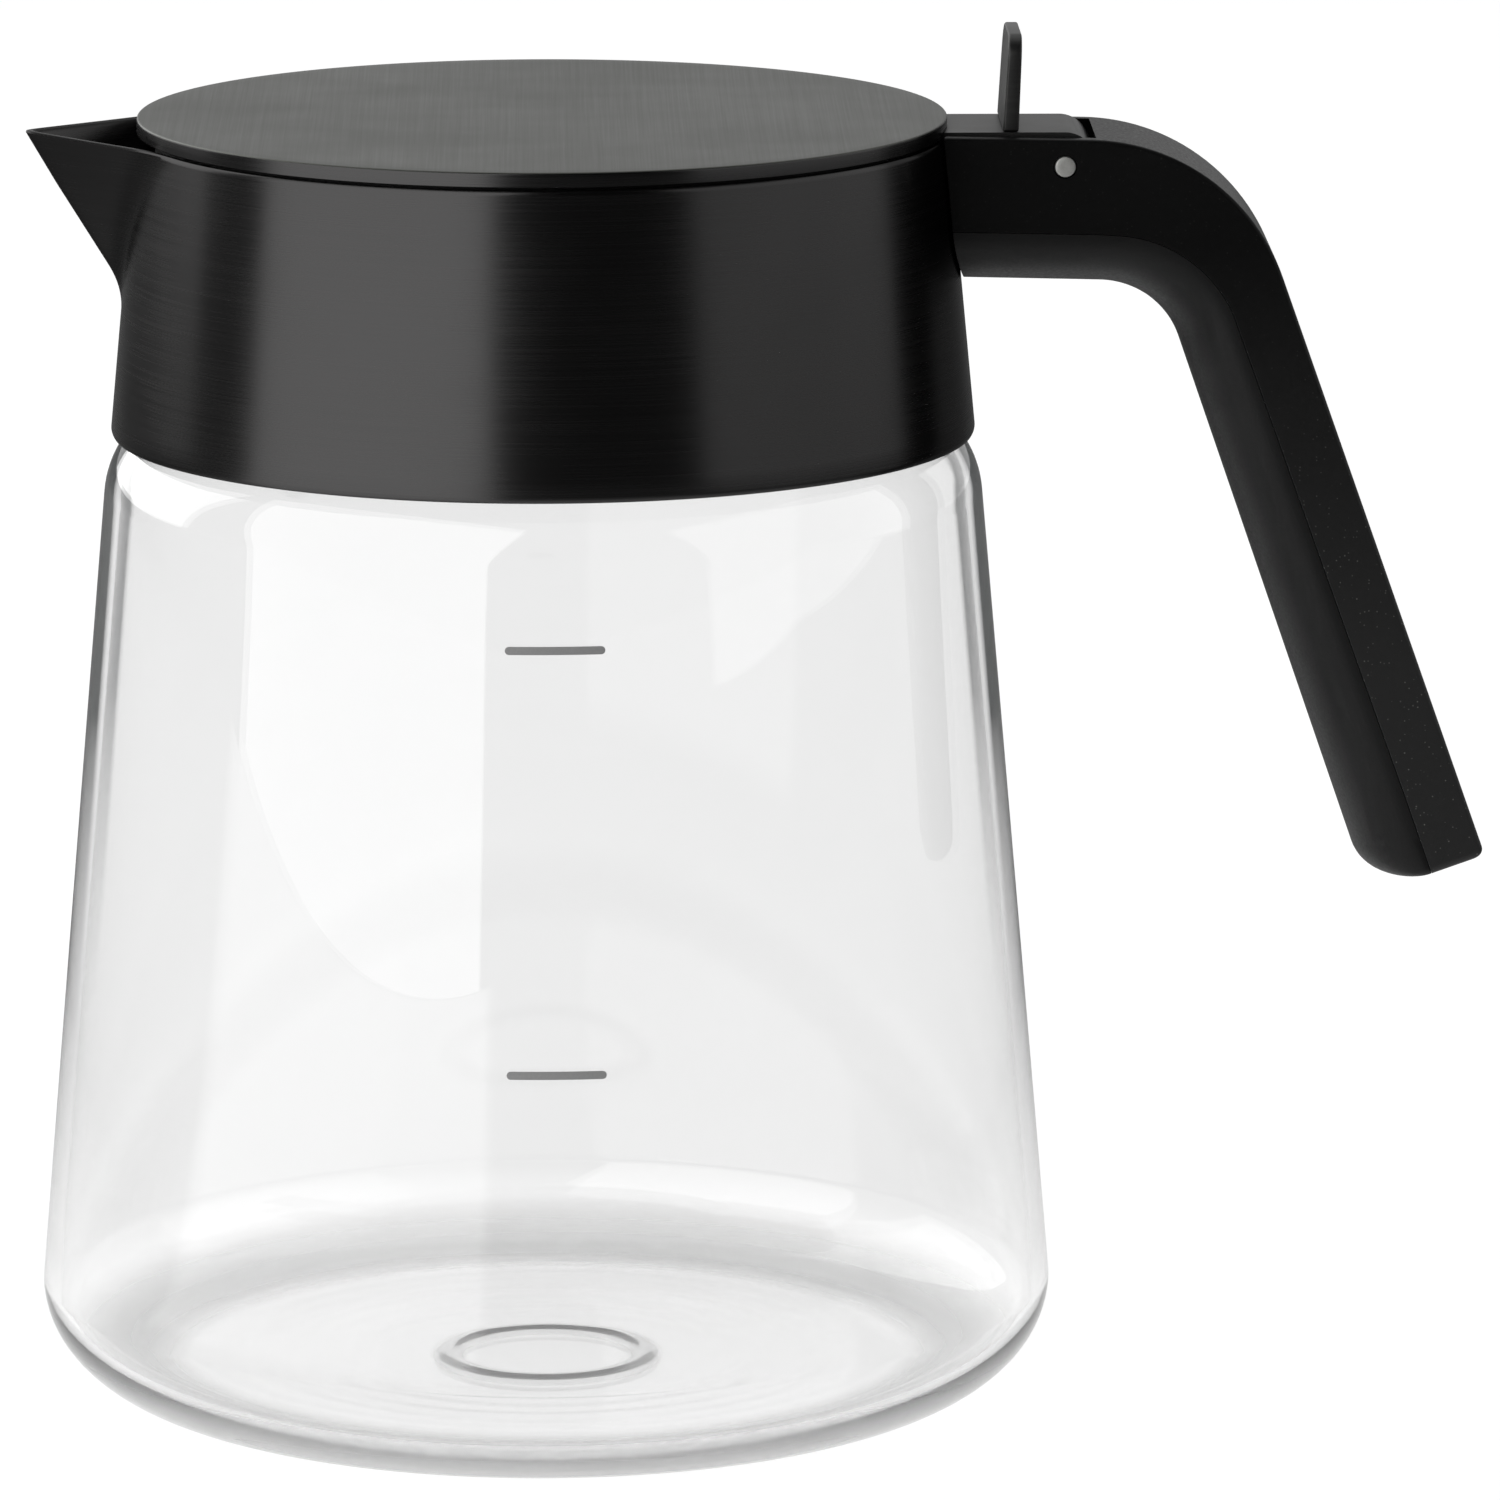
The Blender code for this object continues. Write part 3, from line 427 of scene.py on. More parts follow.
def turningTree():
    # a profile's points become rings round Z
    tree, given = startTree("turnProfile", ["Steps"], "NodeSocketInt")
    count = addNode(tree, "GeometryNodeAttributeDomainSize",
                    {"Geometry": given["Geometry"]}).outputs["Point Count"]
    across = addNode(tree, "ShaderNodeMath", {0: given["Steps"], 1: 1.0}, operation="ADD")
    grid = addNode(tree, "GeometryNodeMeshGrid", {
        "Vertices X": across.outputs["Value"], "Vertices Y": count})
    index = addNode(tree, "GeometryNodeInputIndex").outputs["Index"]
    row = addNode(tree, "ShaderNodeMath", {0: index, 1: count}, operation="MODULO")
    column = addNode(tree, "ShaderNodeMath", {0: index, 1: count}, operation="DIVIDE")
    column = addNode(tree, "ShaderNodeMath", {0: column.outputs["Value"]}, operation="FLOOR")
    turn = addNode(tree, "ShaderNodeMath", {0: column.outputs["Value"], 1: math.tau},
                   operation="MULTIPLY")
    angle = addNode(tree, "ShaderNodeMath", {0: turn.outputs["Value"], 1: given["Steps"]},
                    operation="DIVIDE").outputs["Value"]
    position = addNode(tree, "GeometryNodeInputPosition").outputs["Position"]
    sample = tree.nodes.new("GeometryNodeSampleIndex")
    sample.data_type = "FLOAT_VECTOR"
    tree.links.new(given["Geometry"], sample.inputs["Geometry"])
    tree.links.new(position, sample.inputs["Value"])
    tree.links.new(row.outputs["Value"], sample.inputs["Index"])
    parts = addNode(tree, "ShaderNodeSeparateXYZ", {"Vector": sample.outputs["Value"]})
    level = []
    for operation in ("COSINE", "SINE"):
        side = addNode(tree, "ShaderNodeMath", {0: angle}, operation=operation)
        level.append(addNode(tree, "ShaderNodeMath", {
            0: side.outputs["Value"], 1: parts.outputs["X"]}, operation="MULTIPLY"))
    place = addNode(tree, "ShaderNodeCombineXYZ", {
        "X": level[0].outputs["Value"], "Y": level[1].outputs["Value"], "Z": parts.outputs["Z"]})
    turned = addNode(tree, "GeometryNodeSetPosition", {
        "Geometry": grid.outputs["Mesh"], "Position": place.outputs["Vector"]})
    closed = addNode(tree, "GeometryNodeMergeByDistance", {
        "Geometry": turned.outputs["Geometry"], "Distance": 0.000002})
    return endTree(tree, given, closed.outputs["Geometry"])


turning = turningTree()


def turnedPiece(name, profile, material, steps=160, sharpAngle=32.0):
    points = [(radius * mm, 0.0, height * mm) for radius, height in profile]
    if profile[0][0] > 0.0:
        points.append(points[0])
    edges = [(i, i + 1) for i in range(len(points) - 1)]
    piece = grownPiece(name, points, edges, turning, Steps=steps, Material=material)
    return coatWith(bakeModifiers(piece, sharpAngle), material)


# ---- glass jug ----
jugSize = {
    "baseFlat": 45.5, "belly": 61.7, "bellyHeight": 13.45, "shoulder": 53.1, "shoulderHeight": 111.0,
    "shoulderCurve": 12.0, "shoulderEnd": 60.0, "neckCurve": 4.0, "rim": 131.0, "wall": 2.0,
    "floor": 3.0, "buttonInner": 10.5, "buttonOuter": 13.8, "buttonHeight": 0.3,
    "ripples": (24.0, 33.0, 41.0), "rippleHeight": 0.05, "rippleWidth": 3.0}
taper = math.degrees(math.atan2(jugSize["belly"] - jugSize["shoulder"],
                                jugSize["shoulderHeight"] - jugSize["bellyHeight"]))
shoulderCenter = (
    jugSize["shoulder"] - jugSize["shoulderCurve"] * math.cos(math.radians(taper)),
    jugSize["shoulderHeight"] - jugSize["shoulderCurve"] * math.sin(math.radians(taper)))


def jugSide(inset, foot):
    # the wall from the base's flat up to the neck
    size = jugSize
    width = size["belly"] - size["baseFlat"] - inset
    base = arc((size["baseFlat"], size["bellyHeight"]), width, size["bellyHeight"] - foot, -90, 0, 20)
    curve = size["shoulderCurve"] - inset
    shoulder = arc(shoulderCenter, curve, curve, taper, size["shoulderEnd"], 16)
    reach = math.radians(size["shoulderEnd"])
    center = (shoulderCenter[0] + (size["shoulderCurve"] + size["neckCurve"]) * math.cos(reach),
              shoulderCenter[1] + (size["shoulderCurve"] + size["neckCurve"]) * math.sin(reach))
    neckRadius = size["neckCurve"] + inset
    neck = arc(center, neckRadius, neckRadius, 180 + size["shoulderEnd"], 180, 8)
    last = base[-1]
    first = shoulder[0]
    straight = [(last[0] + (first[0] - last[0]) * i / 12, last[1] + (first[1] - last[1]) * i / 12)
                for i in range(1, 12)]
    return base + straight + shoulder + neck[1:]


def floorHeight(radius):
    # the inner floor: a raised pressed button ring and faint ripples round it
    size = jugSize
    middle = (size["buttonInner"] + size["buttonOuter"]) / 2
    half = (size["buttonOuter"] - size["buttonInner"]) / 2
    height = size["floor"]
    if abs(radius - middle) < half:
        height += size["buttonHeight"] * (0.5 + 0.5 * math.cos(math.pi * (radius - middle) / half))
    for ripple in size["ripples"]:
        offset = abs(radius - ripple) / size["rippleWidth"]
        if offset < 1.0:
            height += size["rippleHeight"] * (0.5 + 0.5 * math.cos(math.pi * offset))
    return height


def makeJug():
    outer = jugSide(0.0, 0.0)
    inner = jugSide(jugSize["wall"], jugSize["floor"])
    lip = jugSize["wall"] / 2
    rim = arc((outer[-1][0] - lip, jugSize["rim"] - lip), lip, lip, 0, 180, 8)
    floor = [(radius / 2, floorHeight(radius / 2))
             for radius in range(int(jugSize["baseFlat"] * 2) - 1, 0, -1)]
    profile = [(0.0, 0.0)] + outer + rim + inner[::-1] + floor + [(0.0, floorHeight(0.0))]
    piece = turnedPiece("glassJug", profile, glass, 200, 60.0)
    finishPiece(piece, "jug", "clear_glass", "glass_body")


makeJug()

markSize = {"length": 11.7, "width": 0.95, "film": 0.06, "middle": 1.2, "heights": (101.2, 51.5)}


def makeFillMarks():
    # two printed lines that follow the glass's cone, each with round ends
    size = markSize
    half, cap = size["length"] / 2, size["width"] / 2
    slope = math.tan(math.radians(taper))
    for index, level in enumerate(size["heights"]):
        shape = bmesh.new()
        rows = []
        steps = 48
        for i in range(steps + 1):
            # closer steps near the ends, where the outline turns
            along = -half * math.cos(math.pi * i / steps)
            past = max(abs(along) - (half - cap), 0.0)
            rise = max(math.sqrt(max(cap * cap - past * past, 0.0)), 0.02)
            row = []
            for film in (-0.01, size["film"]):
                for side in (-1.0, -0.5, 0.0, 0.5, 1.0):
                    height = level + rise * side
                    radius = jugSize["shoulder"] + slope * (jugSize["shoulderHeight"] - height) + film
                    x = size["middle"] + along
                    y = -math.sqrt(radius ** 2 - x ** 2)
                    row.append(shape.verts.new((x * mm, y * mm, height * mm)))
            rows.append(row[:5] + row[:4:-1])
        bridge(shape, rows, rows[1:])
        shape.faces.new(list(reversed(rows[0])))
        shape.faces.new(rows[-1])
        bmesh.ops.recalc_face_normals(shape, faces=shape.faces)
        piece = linkPiece(f"fillMark{index + 1}", meshFrom("fillMark", shape), ink)
        smoothen(piece, 40.0)
        finishPiece(piece, "jug", "silicone")


makeFillMarks()
print("glass jug made")

# ---- collar ----
collarSize = {
    "top": 154.4, "topRadius": 48.8, "flare": 0.095, "sheet": 0.8, "lipCurve": 1.2, "lip": 118.9,
    "lipEnd": 35.0, "reach": 63.05, "spoutSlope": 0.625, "half": 45.0,
    "tipRounding": 0.8, "rise": 0.4, "blend": 2.0, "notchHalf": 8.5, "notchFloor": 151.9}


def collarRadius(height):
    return collarSize["topRadius"] + collarSize["flare"] * (collarSize["top"] - height)


def spoutRadius(angle, height):
    apex = collarSize["reach"] - collarSize["spoutSlope"] * (collarSize["top"] - height)
    rounded = math.hypot(angle, math.radians(collarSize["tipRounding"]))
    half = math.radians(collarSize["half"])
    return apex * math.sin(half) / math.cos(max(half - rounded, 0.0))


def foldedRadius(angle, height, inset=0.0):
    # the larger of the cone and the folded V, blended along the crease
    first, second = collarRadius(height) - inset, spoutRadius(angle, height) - inset * math.sqrt(2)
    overlap = max(collarSize["blend"] - abs(first - second), 0.0)
    return max(first, second) + overlap ** 2 / (4 * collarSize["blend"])


def collarAngles():
    # close steps at the spout's tip and along its creases
    half = [0.0, 0.25, 0.5, 0.8, 1.2, 1.7, 2.3, 3.0, 3.8, 4.8]
    half += [6.0 + i for i in range(25)]
    rest = [30.0 + 1.5 * i for i in range(1, 200)]
    degrees = half + rest + [360.0 - a for a in reversed(half[1:])]
    return [math.radians(a) for a in degrees]


def makeCollar():
    size = collarSize
    count = 36
    heights = [size["top"] - (size["top"] - 132.0) * i / count for i in range(count + 1)]
    heights += [128.0, 124.0, 121.0]
    angles = collarAngles()
    curve = size["lipCurve"]
    edge = size["sheet"] / 2
    rings = []

    def ring(inset, height, top=False):
        row = []
        for angle in angles:
            signed = (angle + math.pi) % math.tau - math.pi
            radius = foldedRadius(signed, height, inset)
            spread = (foldedRadius(signed, size["top"]) - collarRadius(size["top"]))
            lift = size["rise"] * spread / (size["reach"] - collarRadius(size["top"]))
            fade = max(height - size["top"] + 6.0, 0.0) / 6.0
            row.append((-radius * math.cos(angle) * mm, -radius * math.sin(angle) * mm,
                        (height + lift * fade) * mm))
        rings.append(row)

    # up the inside, over the rounded rim, down the outside and round the lip
    for height in reversed(heights[1:]):
        ring(size["sheet"], height)
    ring(size["sheet"], size["top"] - edge * 0.6)
    ring(size["sheet"] - edge * 0.35, size["top"] - edge * 0.1)
    ring(edge, size["top"])
    ring(edge * 0.35, size["top"] - edge * 0.1)
    ring(0.0, size["top"] - edge * 0.6)
    for height in heights[1:]:
        ring(0.0, height)
    center = (collarRadius(size["lip"]) - curve, size["lip"])
    lip = arc(center, curve, curve, 0, -size["lipEnd"], 5)
    inside = arc(center, curve - size["sheet"], curve - size["sheet"], 0, -size["lipEnd"], 3)
    for radius, height in lip + inside[::-1]:
        rings.append([(-radius * math.cos(a) * mm, -radius * math.sin(a) * mm, height * mm)
                      for a in angles])
    shape = bmesh.new()
    verts = [[shape.verts.new(point) for point in row] for row in rings]
    bridge(shape, verts, verts[1:] + verts[:1])
    bmesh.ops.recalc_face_normals(shape, faces=shape.faces)
    piece = linkPiece("steelCollar", meshFrom("steelCollar", shape), collarSteel)
    cutWith(piece, boxCutter("notch", (40, -size["notchHalf"], size["notchFloor"]),
                             (56, size["notchHalf"], 160)))
    smoothen(piece, 38.0)
    finishPiece(piece, "jug", "black_steel", "collar")


makeCollar()
print("collar made")


# ---- rings between glass and collar ----
def ringFromNode(name, node, material, slot, profile):
    finishPiece(turnedPiece(name, profile, material, 144), "jug", slot, node)


def levels(node):
    low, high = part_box(node)
    return low.z / mm, high.z / mm


gap = 0.3
neckSize = {"gasketFoot": [(50.7, 118.4), (50.8, 119.9)], "collarPlay": 1.1, "chamfer": (1.2, 2.6),
            "sealRim": 48.2, "sealMouth": [(45.8, 134.2), (43.9, 133.2), (43.4, 132.8)],
            "sealInside": 43.7}


def makeNeckRings():
    size = neckSize
    reach = jugSize["shoulderCurve"] + gap
    seat = arc(shoulderCenter, reach, reach, 60.0, 41.5, 6)
    top = levels("neck_gasket")[1]
    outer = collarRadius(top) - collarSize["sheet"] - gap
    profile = seat + size["gasketFoot"] + [(outer, top), (seat[0][0], top)]
    ringFromNode("neckGasket", "neck_gasket", silicone, "silicone", profile)
    bottom, top = levels("neck_ring")
    neck = shoulderCenter[0] + (jugSize["shoulderCurve"] + jugSize["neckCurve"]) * 0.5
    inner = neck - jugSize["neckCurve"] + gap
    play, chamfer = size["collarPlay"], size["chamfer"]
    profile = [(inner + chamfer[0], bottom), (collarRadius(bottom) - play, bottom),
               (collarRadius(top) - play, top), (inner, top), (inner, bottom + chamfer[1])]
    ringFromNode("neckRing", "neck_ring", innerPlastic, "inner_plastic", profile)
    bottom, top = levels("pour_seal")
    wall = collarRadius(top) - play
    profile = [(size["sealInside"], bottom), (wall, bottom), (wall, top), (size["sealRim"], top)]
    profile += size["sealMouth"]
    ringFromNode("pourSeal", "pour_seal", silicone, "silicone", profile)


makeNeckRings()
print("neck rings made")

# ---- handle ----
handleSize = {
    "half": 10.25, "startX": 47.0, "backStart": 154.93, "bellyStart": 136.8,
    "backBend": (65.54, 154.61), "backRadius": 25.0, "bellyBend": (67.05, 136.35),
    "bellyRadius": 10.5, "backEnd": (113.95, 66.9), "bellyEnd": (100.1, 62.0),
    "slope": 1.0, "bendEnd": 70.7, "armSeam": 0.625, "gripSeam": 0.465, "backEdge": 0.55, "seamEdge": 0.12,
    "endBack": 1.3, "endBelly": 5.0, "endSide": 1.0, "bendSteps": 28}
pinX, pinZ = 62.5, 151.36
slotSize = {"half": 8.25, "radius": 4.95, "rear": 66.15, "floor": 141.0}
deckSize = {"half": 7.95, "rear": 63.5, "bottom": 140.3, "top": 146.3}
endDistances = [10.0, 5.0, 4.4, 3.8, 3.2, 2.7, 2.2, 1.8, 1.5, 1.3, 1.1, 0.9, 0.7, 0.5, 0.32, 0.18,
                0.08, 0.02, 0.0]


def bendPoint(start, radius, degrees):
    slope, turn = math.radians(handleSize["slope"]), math.radians(degrees)
    return Vector((start[0] + radius * (math.sin(turn) - math.sin(slope)),
                   start[1] + radius * (math.cos(turn) - math.cos(slope))))


def handleStations():
    size = handleSize
    pairs = [(Vector((size["startX"], size["backStart"])),
              Vector((size["startX"], size["bellyStart"])))]
    for i in range(size["bendSteps"] + 1):
        turn = size["slope"] + (size["bendEnd"] - size["slope"]) * i / size["bendSteps"]
        pairs.append((bendPoint(size["backBend"], size["backRadius"], turn),
                      bendPoint(size["bellyBend"], size["bellyRadius"], turn)))
    return pairs


stations = handleStations()


def gripPair(distance):
    ends = (Vector(handleSize["backEnd"]), Vector(handleSize["bellyEnd"]))
    return tuple(end + (top - end).normalized() * distance for top, end in zip(stations[-1], ends))


def cornerInset(distance, curve):
    if distance >= curve:
        return 0.0
    return curve - math.sqrt(curve ** 2 - (curve - distance) ** 2)


def seamDepth(pair):
    # the seam lies low in the arm and moves towards the back round the bend
    size = handleSize
    across = pair[1] - pair[0]
    share = min(max(math.degrees(math.atan2(-across.x, -across.y)) / size["bendEnd"], 0.0), 1.0)
    return across.length * (size["armSeam"] + (size["gripSeam"] - size["armSeam"]) * share)


def sectionRing(pair, outline):
    back, belly = pair
    inward = (belly - back).normalized()
    return [((back + inward * depth).x * mm, y * mm, (back + inward * depth).y * mm)
            for y, depth in outline]


def backOutline(pair, backInset, sideInset):
    # flat back with small rounded edges, down to the seam
    size = handleSize
    half = size["half"] - sideInset
    seam = seamDepth(pair) - 0.01
    edge, soft = size["backEdge"], size["seamEdge"]
    right = arc((half - edge, backInset + edge), edge, -edge, 90, 0, 5)
    side = [(half, seam - soft), (half - soft * 0.3, seam - soft * 0.3), (half - soft, seam)]
    run = right + side
    return [(-y, depth) for y, depth in reversed(run)] + run


def bellyOutline(pair, bellyInset, sideInset):
    # half an ellipse under the seam
    size = handleSize
    half = size["half"] - sideInset
    seam = seamDepth(pair) + 0.01
    fall = (pair[1] - pair[0]).length - bellyInset - seam
    soft = size["seamEdge"]
    curve = arc((0.0, seam + soft), half, fall - soft, 0, 180, 32)
    return [(half - soft, seam), (half - soft * 0.3, seam + soft * 0.3)] + curve + [
        (-half + soft * 0.3, seam + soft * 0.3), (-half + soft, seam)]


def handleShell(name, outline, endCurve, material):
    rings = [sectionRing(pair, outline(pair, 0.0, 0.0)) for pair in stations]
    for distance in endDistances:
        pair = gripPair(distance)
        rings.append(sectionRing(pair, outline(pair, cornerInset(distance, endCurve),
                                               cornerInset(distance, handleSize["endSide"]))))
    return loft(name, rings, material)


def collarClearance():
    low, high = 125.0, 165.0
    shape = bmesh.new()
    bmesh.ops.create_cone(shape, cap_ends=True, segments=192, radius1=(collarRadius(low) + gap) * mm,
                          radius2=(collarRadius(high) + gap) * mm, depth=(high - low) * mm,
                          matrix=Matrix.Translation((0, 0, (low + high) / 2 * mm)))
    return linkPiece("collarClearance", meshFrom("collarClearance", shape))


def hingeSlot():
    size = slotSize
    stop = math.degrees(math.acos((size["rear"] - pinX) / size["radius"]))
    rear = arc((pinX, pinZ), size["radius"], size["radius"], -75, stop, 24)
    outline = [(45.0, 160.0), (45.0, size["floor"]), (rear[0][0], size["floor"])]
    outline += rear + [(rear[-1][0], 160.0)]
    return slab("hingeSlot", outline, size["half"])


def makeHandle():
    outer = handleShell("handleBack", backOutline, handleSize["endBack"], backPlastic)
    cutWith(outer, collarClearance(), hingeSlot(),
            rodCutter("bore", (pinX, -13, pinZ), (pinX, 13, pinZ), 1.42))
    roundEdges(outer, 0.22, 2)
    finishPiece(bakeModifiers(outer, even=True), "jug", "handle_plastic", "handle_outer")
    inner = handleShell("handleBelly", bellyOutline, handleSize["endBelly"], bellyPlastic)
    size = deckSize
    joinWith(inner, boxCutter("deck", (handleSize["startX"], -size["half"], size["bottom"]),
                              (size["rear"], size["half"], size["top"])))
    low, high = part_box("handle_bracket")
    low, high = low / mm, high / mm
    seats = [collarClearance(), boxCutter("plateSeat", (45, low.y - gap, low.z - gap),
                                          (52.9, high.y + gap, high.z + gap)),
             boxCutter("tongueSeat", (45, low.y - gap, 141.1), (high.x + gap, high.y + gap, 144.3))]
    for side in ("left", "right"):
        low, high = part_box(f"deck_screw_{side}")
        middle = (low + high) / 2 / mm
        top = high.z / mm
        seats.append(rodCutter("seat", (middle.x, middle.y, top - 1.5), (middle.x, middle.y, top + 3), 2.8))
    cutWith(inner, *seats)
    roundEdges(inner, 0.15, 2)
    finishPiece(bakeModifiers(inner, even=True), "jug", "handle_plastic", "handle_inner")


makeHandle()
print("handle made")

# ---- hinge pin ----
# each radius with its depth below the end's crown
pinSize = {"crown": [(0.0, 0.02), (0.45, 0.0), (1.0, 0.0), (1.18, 0.05), (1.3, 0.22)]}


def makePin():
    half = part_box("hinge_pin")[1].y / mm
    face = [(radius, half - depth) for radius, depth in pinSize["crown"]]
    profile = [(r, -h) for r, h in face] + [(r, h) for r, h in reversed(face)]
    piece = turnedPiece("hingePin", profile, pinSteel, 48, 30.0)
    place = Matrix.Translation((pinX * mm, 0.0, pinZ * mm))
    piece.data.transform(place @ Matrix.Rotation(math.pi / 2, 4, "X"))
    finishPiece(piece, "jug", "bright_steel", "hinge_pin")


makePin()
print("pin made")

# ---- lid ----
lidSize = {"radius": 48.7, "top": 156.53, "bottom": 154.73, "sheet": 0.9, "edge": 0.3,
           "rimTurn": 0.6,
           "armHalf": 8.0, "armBottom": 152.25, "armTop": 155.25, "armFront": -22.0,
           "knuckle": 3.9, "screws": (-16.0, 12.0, 38.0)}


def makeLidDisc():
    size = lidSize
    radius, top, bottom, edge = size["radius"], size["top"], size["bottom"], size["edge"]
    inside, under = radius - size["sheet"], top - size["sheet"]
    flat = [(radius * i / 40, top) for i in range(38, 0, -1)]
    profile = [(0.0, under), (inside - 0.3, under), (inside, under - 0.3), (inside, bottom + 0.1),
               (inside + 0.1, bottom), (radius - 0.1, bottom), (radius, bottom + 0.1)]
    profile += arc((radius - edge, top - edge), edge, edge, 0, 90, 6) + flat + [(0.0, top)]
    piece = turnedPiece("lidDisc", profile, paintedLightLidSteel, 240)
    half = size["armHalf"] + 0.4
    cutWith(piece, boxCutter("rimNotch", (40, -half, 150), (52, half, size["armTop"] + 0.2)))
    smoothen(piece, 32.0)
    # faces turned up get the lighter grey steel, a painted reflection on the lid's top; the rest keep the
    # black steel
    coatWith(piece, paintedLightLidSteel, collarSteel)
    for face in piece.data.polygons:
        face.material_index = 0 if face.normal.z > size["rimTurn"] else 1
    finishPiece(piece, "lid", "lid_steel", "lid_disc")


def makeLidArm():
    size = lidSize
    low = math.degrees(math.asin((size["armBottom"] - pinZ) / size["knuckle"]))
    knuckle = arc((pinX, pinZ), size["knuckle"], size["knuckle"], 90, -180 - low, 48)
    outline = [(size["armFront"], size["armTop"])]
    outline += [(x, min(z, size["armTop"])) for x, z in knuckle]
    outline.append((size["armFront"], size["armBottom"]))
    arm = slab("lidArm", outline, size["armHalf"], leverSteel)
    holes = [rodCutter("bore", (pinX, -12, pinZ), (pinX, 12, pinZ), 1.5)]
    holes += [rodCutter("hole", (x, 0, 150), (x, 0, 160), 1.5) for x in size["screws"]]
    cutWith(arm, *holes)
    roundEdges(arm, 0.25, 3, 40.0)
    finishPiece(bakeModifiers(arm, even=True), "lid", "lid_steel", "lid_arm")


leverSize = {"front": 55.1, "baseThickness": 1.9, "topThickness": 1.6, "top": 166.8, "lean": 3.6,
             "corner": 3.0}


def makeThumbLever():
    size, half = leverSize, lidSize["armHalf"]
    bottom = lidSize["armTop"] + 0.05
    corner = size["corner"]
    outline = [(-half, bottom), (half, bottom)]
    outline += [(half, bottom + (size["top"] - corner - bottom) * i / 6) for i in range(1, 6)]
    outline += arc((half - corner, size["top"] - corner), corner, corner, 0, 90, 14)
    outline += arc((corner - half, size["top"] - corner), corner, corner, 90, 180, 14)
    outline += [(-half, bottom + (size["top"] - corner - bottom) * i / 6) for i in range(5, 0, -1)]
    rings = []
    for rear in (0.0, 1.0):
        ring = []
        for y, height in outline:
            rise = (height - bottom) / (size["top"] - bottom)
            thick = size["baseThickness"] + (size["topThickness"] - size["baseThickness"]) * rise
            front = size["front"] + (height - lidSize["armTop"]) * math.tan(math.radians(size["lean"]))
            ring.append(((front + rear * thick) * mm, y * mm, height * mm))
        rings.append(ring)
    lever = loft("thumbLever", rings, leverSteel)
    roundEdges(lever, 0.28, 4, 40.0)
    finishPiece(bakeModifiers(lever), "lid", "lid_steel", "thumb_lever")


insertSize = {"radius": 46.5, "bottom": 146.0, "top": 155.3, "wall": 3.2, "floor": 2.0,
              "groove": 45.3, "grooveLow": 148.7, "grooveHigh": 151.3, "edge": 1.0}


def makeLidInsert():
    size = insertSize
    radius, inner, edge = size["radius"], size["radius"] - size["wall"], size["edge"]
    floor = size["bottom"] + size["floor"]
    profile = [(0.0, size["bottom"])]
    profile += arc((radius - edge, size["bottom"] + edge), edge, edge, -90, 0, 6)
    profile += [(radius, size["grooveLow"]), (size["groove"], size["grooveLow"]),
                (size["groove"], size["grooveHigh"]), (radius, size["grooveHigh"]),
                (radius, size["top"]), (inner, size["top"]), (inner, floor + 0.8),
                (inner - 0.8, floor), (0.0, floor)]
    piece = turnedPiece("lidInsert", profile, innerPlastic, 160)
    half = lidSize["armHalf"] + 0.4
    cutters = [boxCutter("channel", (30, -half, lidSize["armBottom"] - 0.35), (52, half, 160))]
    for x in lidSize["screws"]:
        cutters.append(rodCutter("seat", (x, 0, 140), (x, 0, size["bottom"] + 1.5), 2.8))
    cutWith(piece, *cutters)
    roundEdges(piece, 0.2, 2, 50.0)
    coatWith(bakeModifiers(piece, even=True), innerPlastic)
    finishPiece(piece, "lid", "inner_plastic", "lid_insert")


gasketSize = {"inner": 45.6, "outer": 47.6, "low": 149.0, "high": 151.0}


def makeLidGasket():
    inner, outer, low, high = gasketSize.values()
    profile = [(inner, low), (outer - 0.7, low), (outer - 0.15, low + 0.55)]
    profile += arc((outer - 0.5, (low + high) / 2), 0.5, 0.45, -50, 50, 6)
    profile += [(outer - 0.15, high - 0.55), (outer - 0.7, high), (inner, high)]
    finishPiece(turnedPiece("lidGasket", profile, silicone, 160), "lid", "silicone", "lid_gasket")


makeLidDisc()
makeLidArm()
makeThumbLever()
makeLidInsert()
makeLidGasket()
print("lid made")


# ---- screws, repeated by Geometry Nodes ----
screwSize = {"head": 2.5, "headHeight": 1.2, "shank": 1.25, "socket": 1.2, "socketDepth": 0.8}


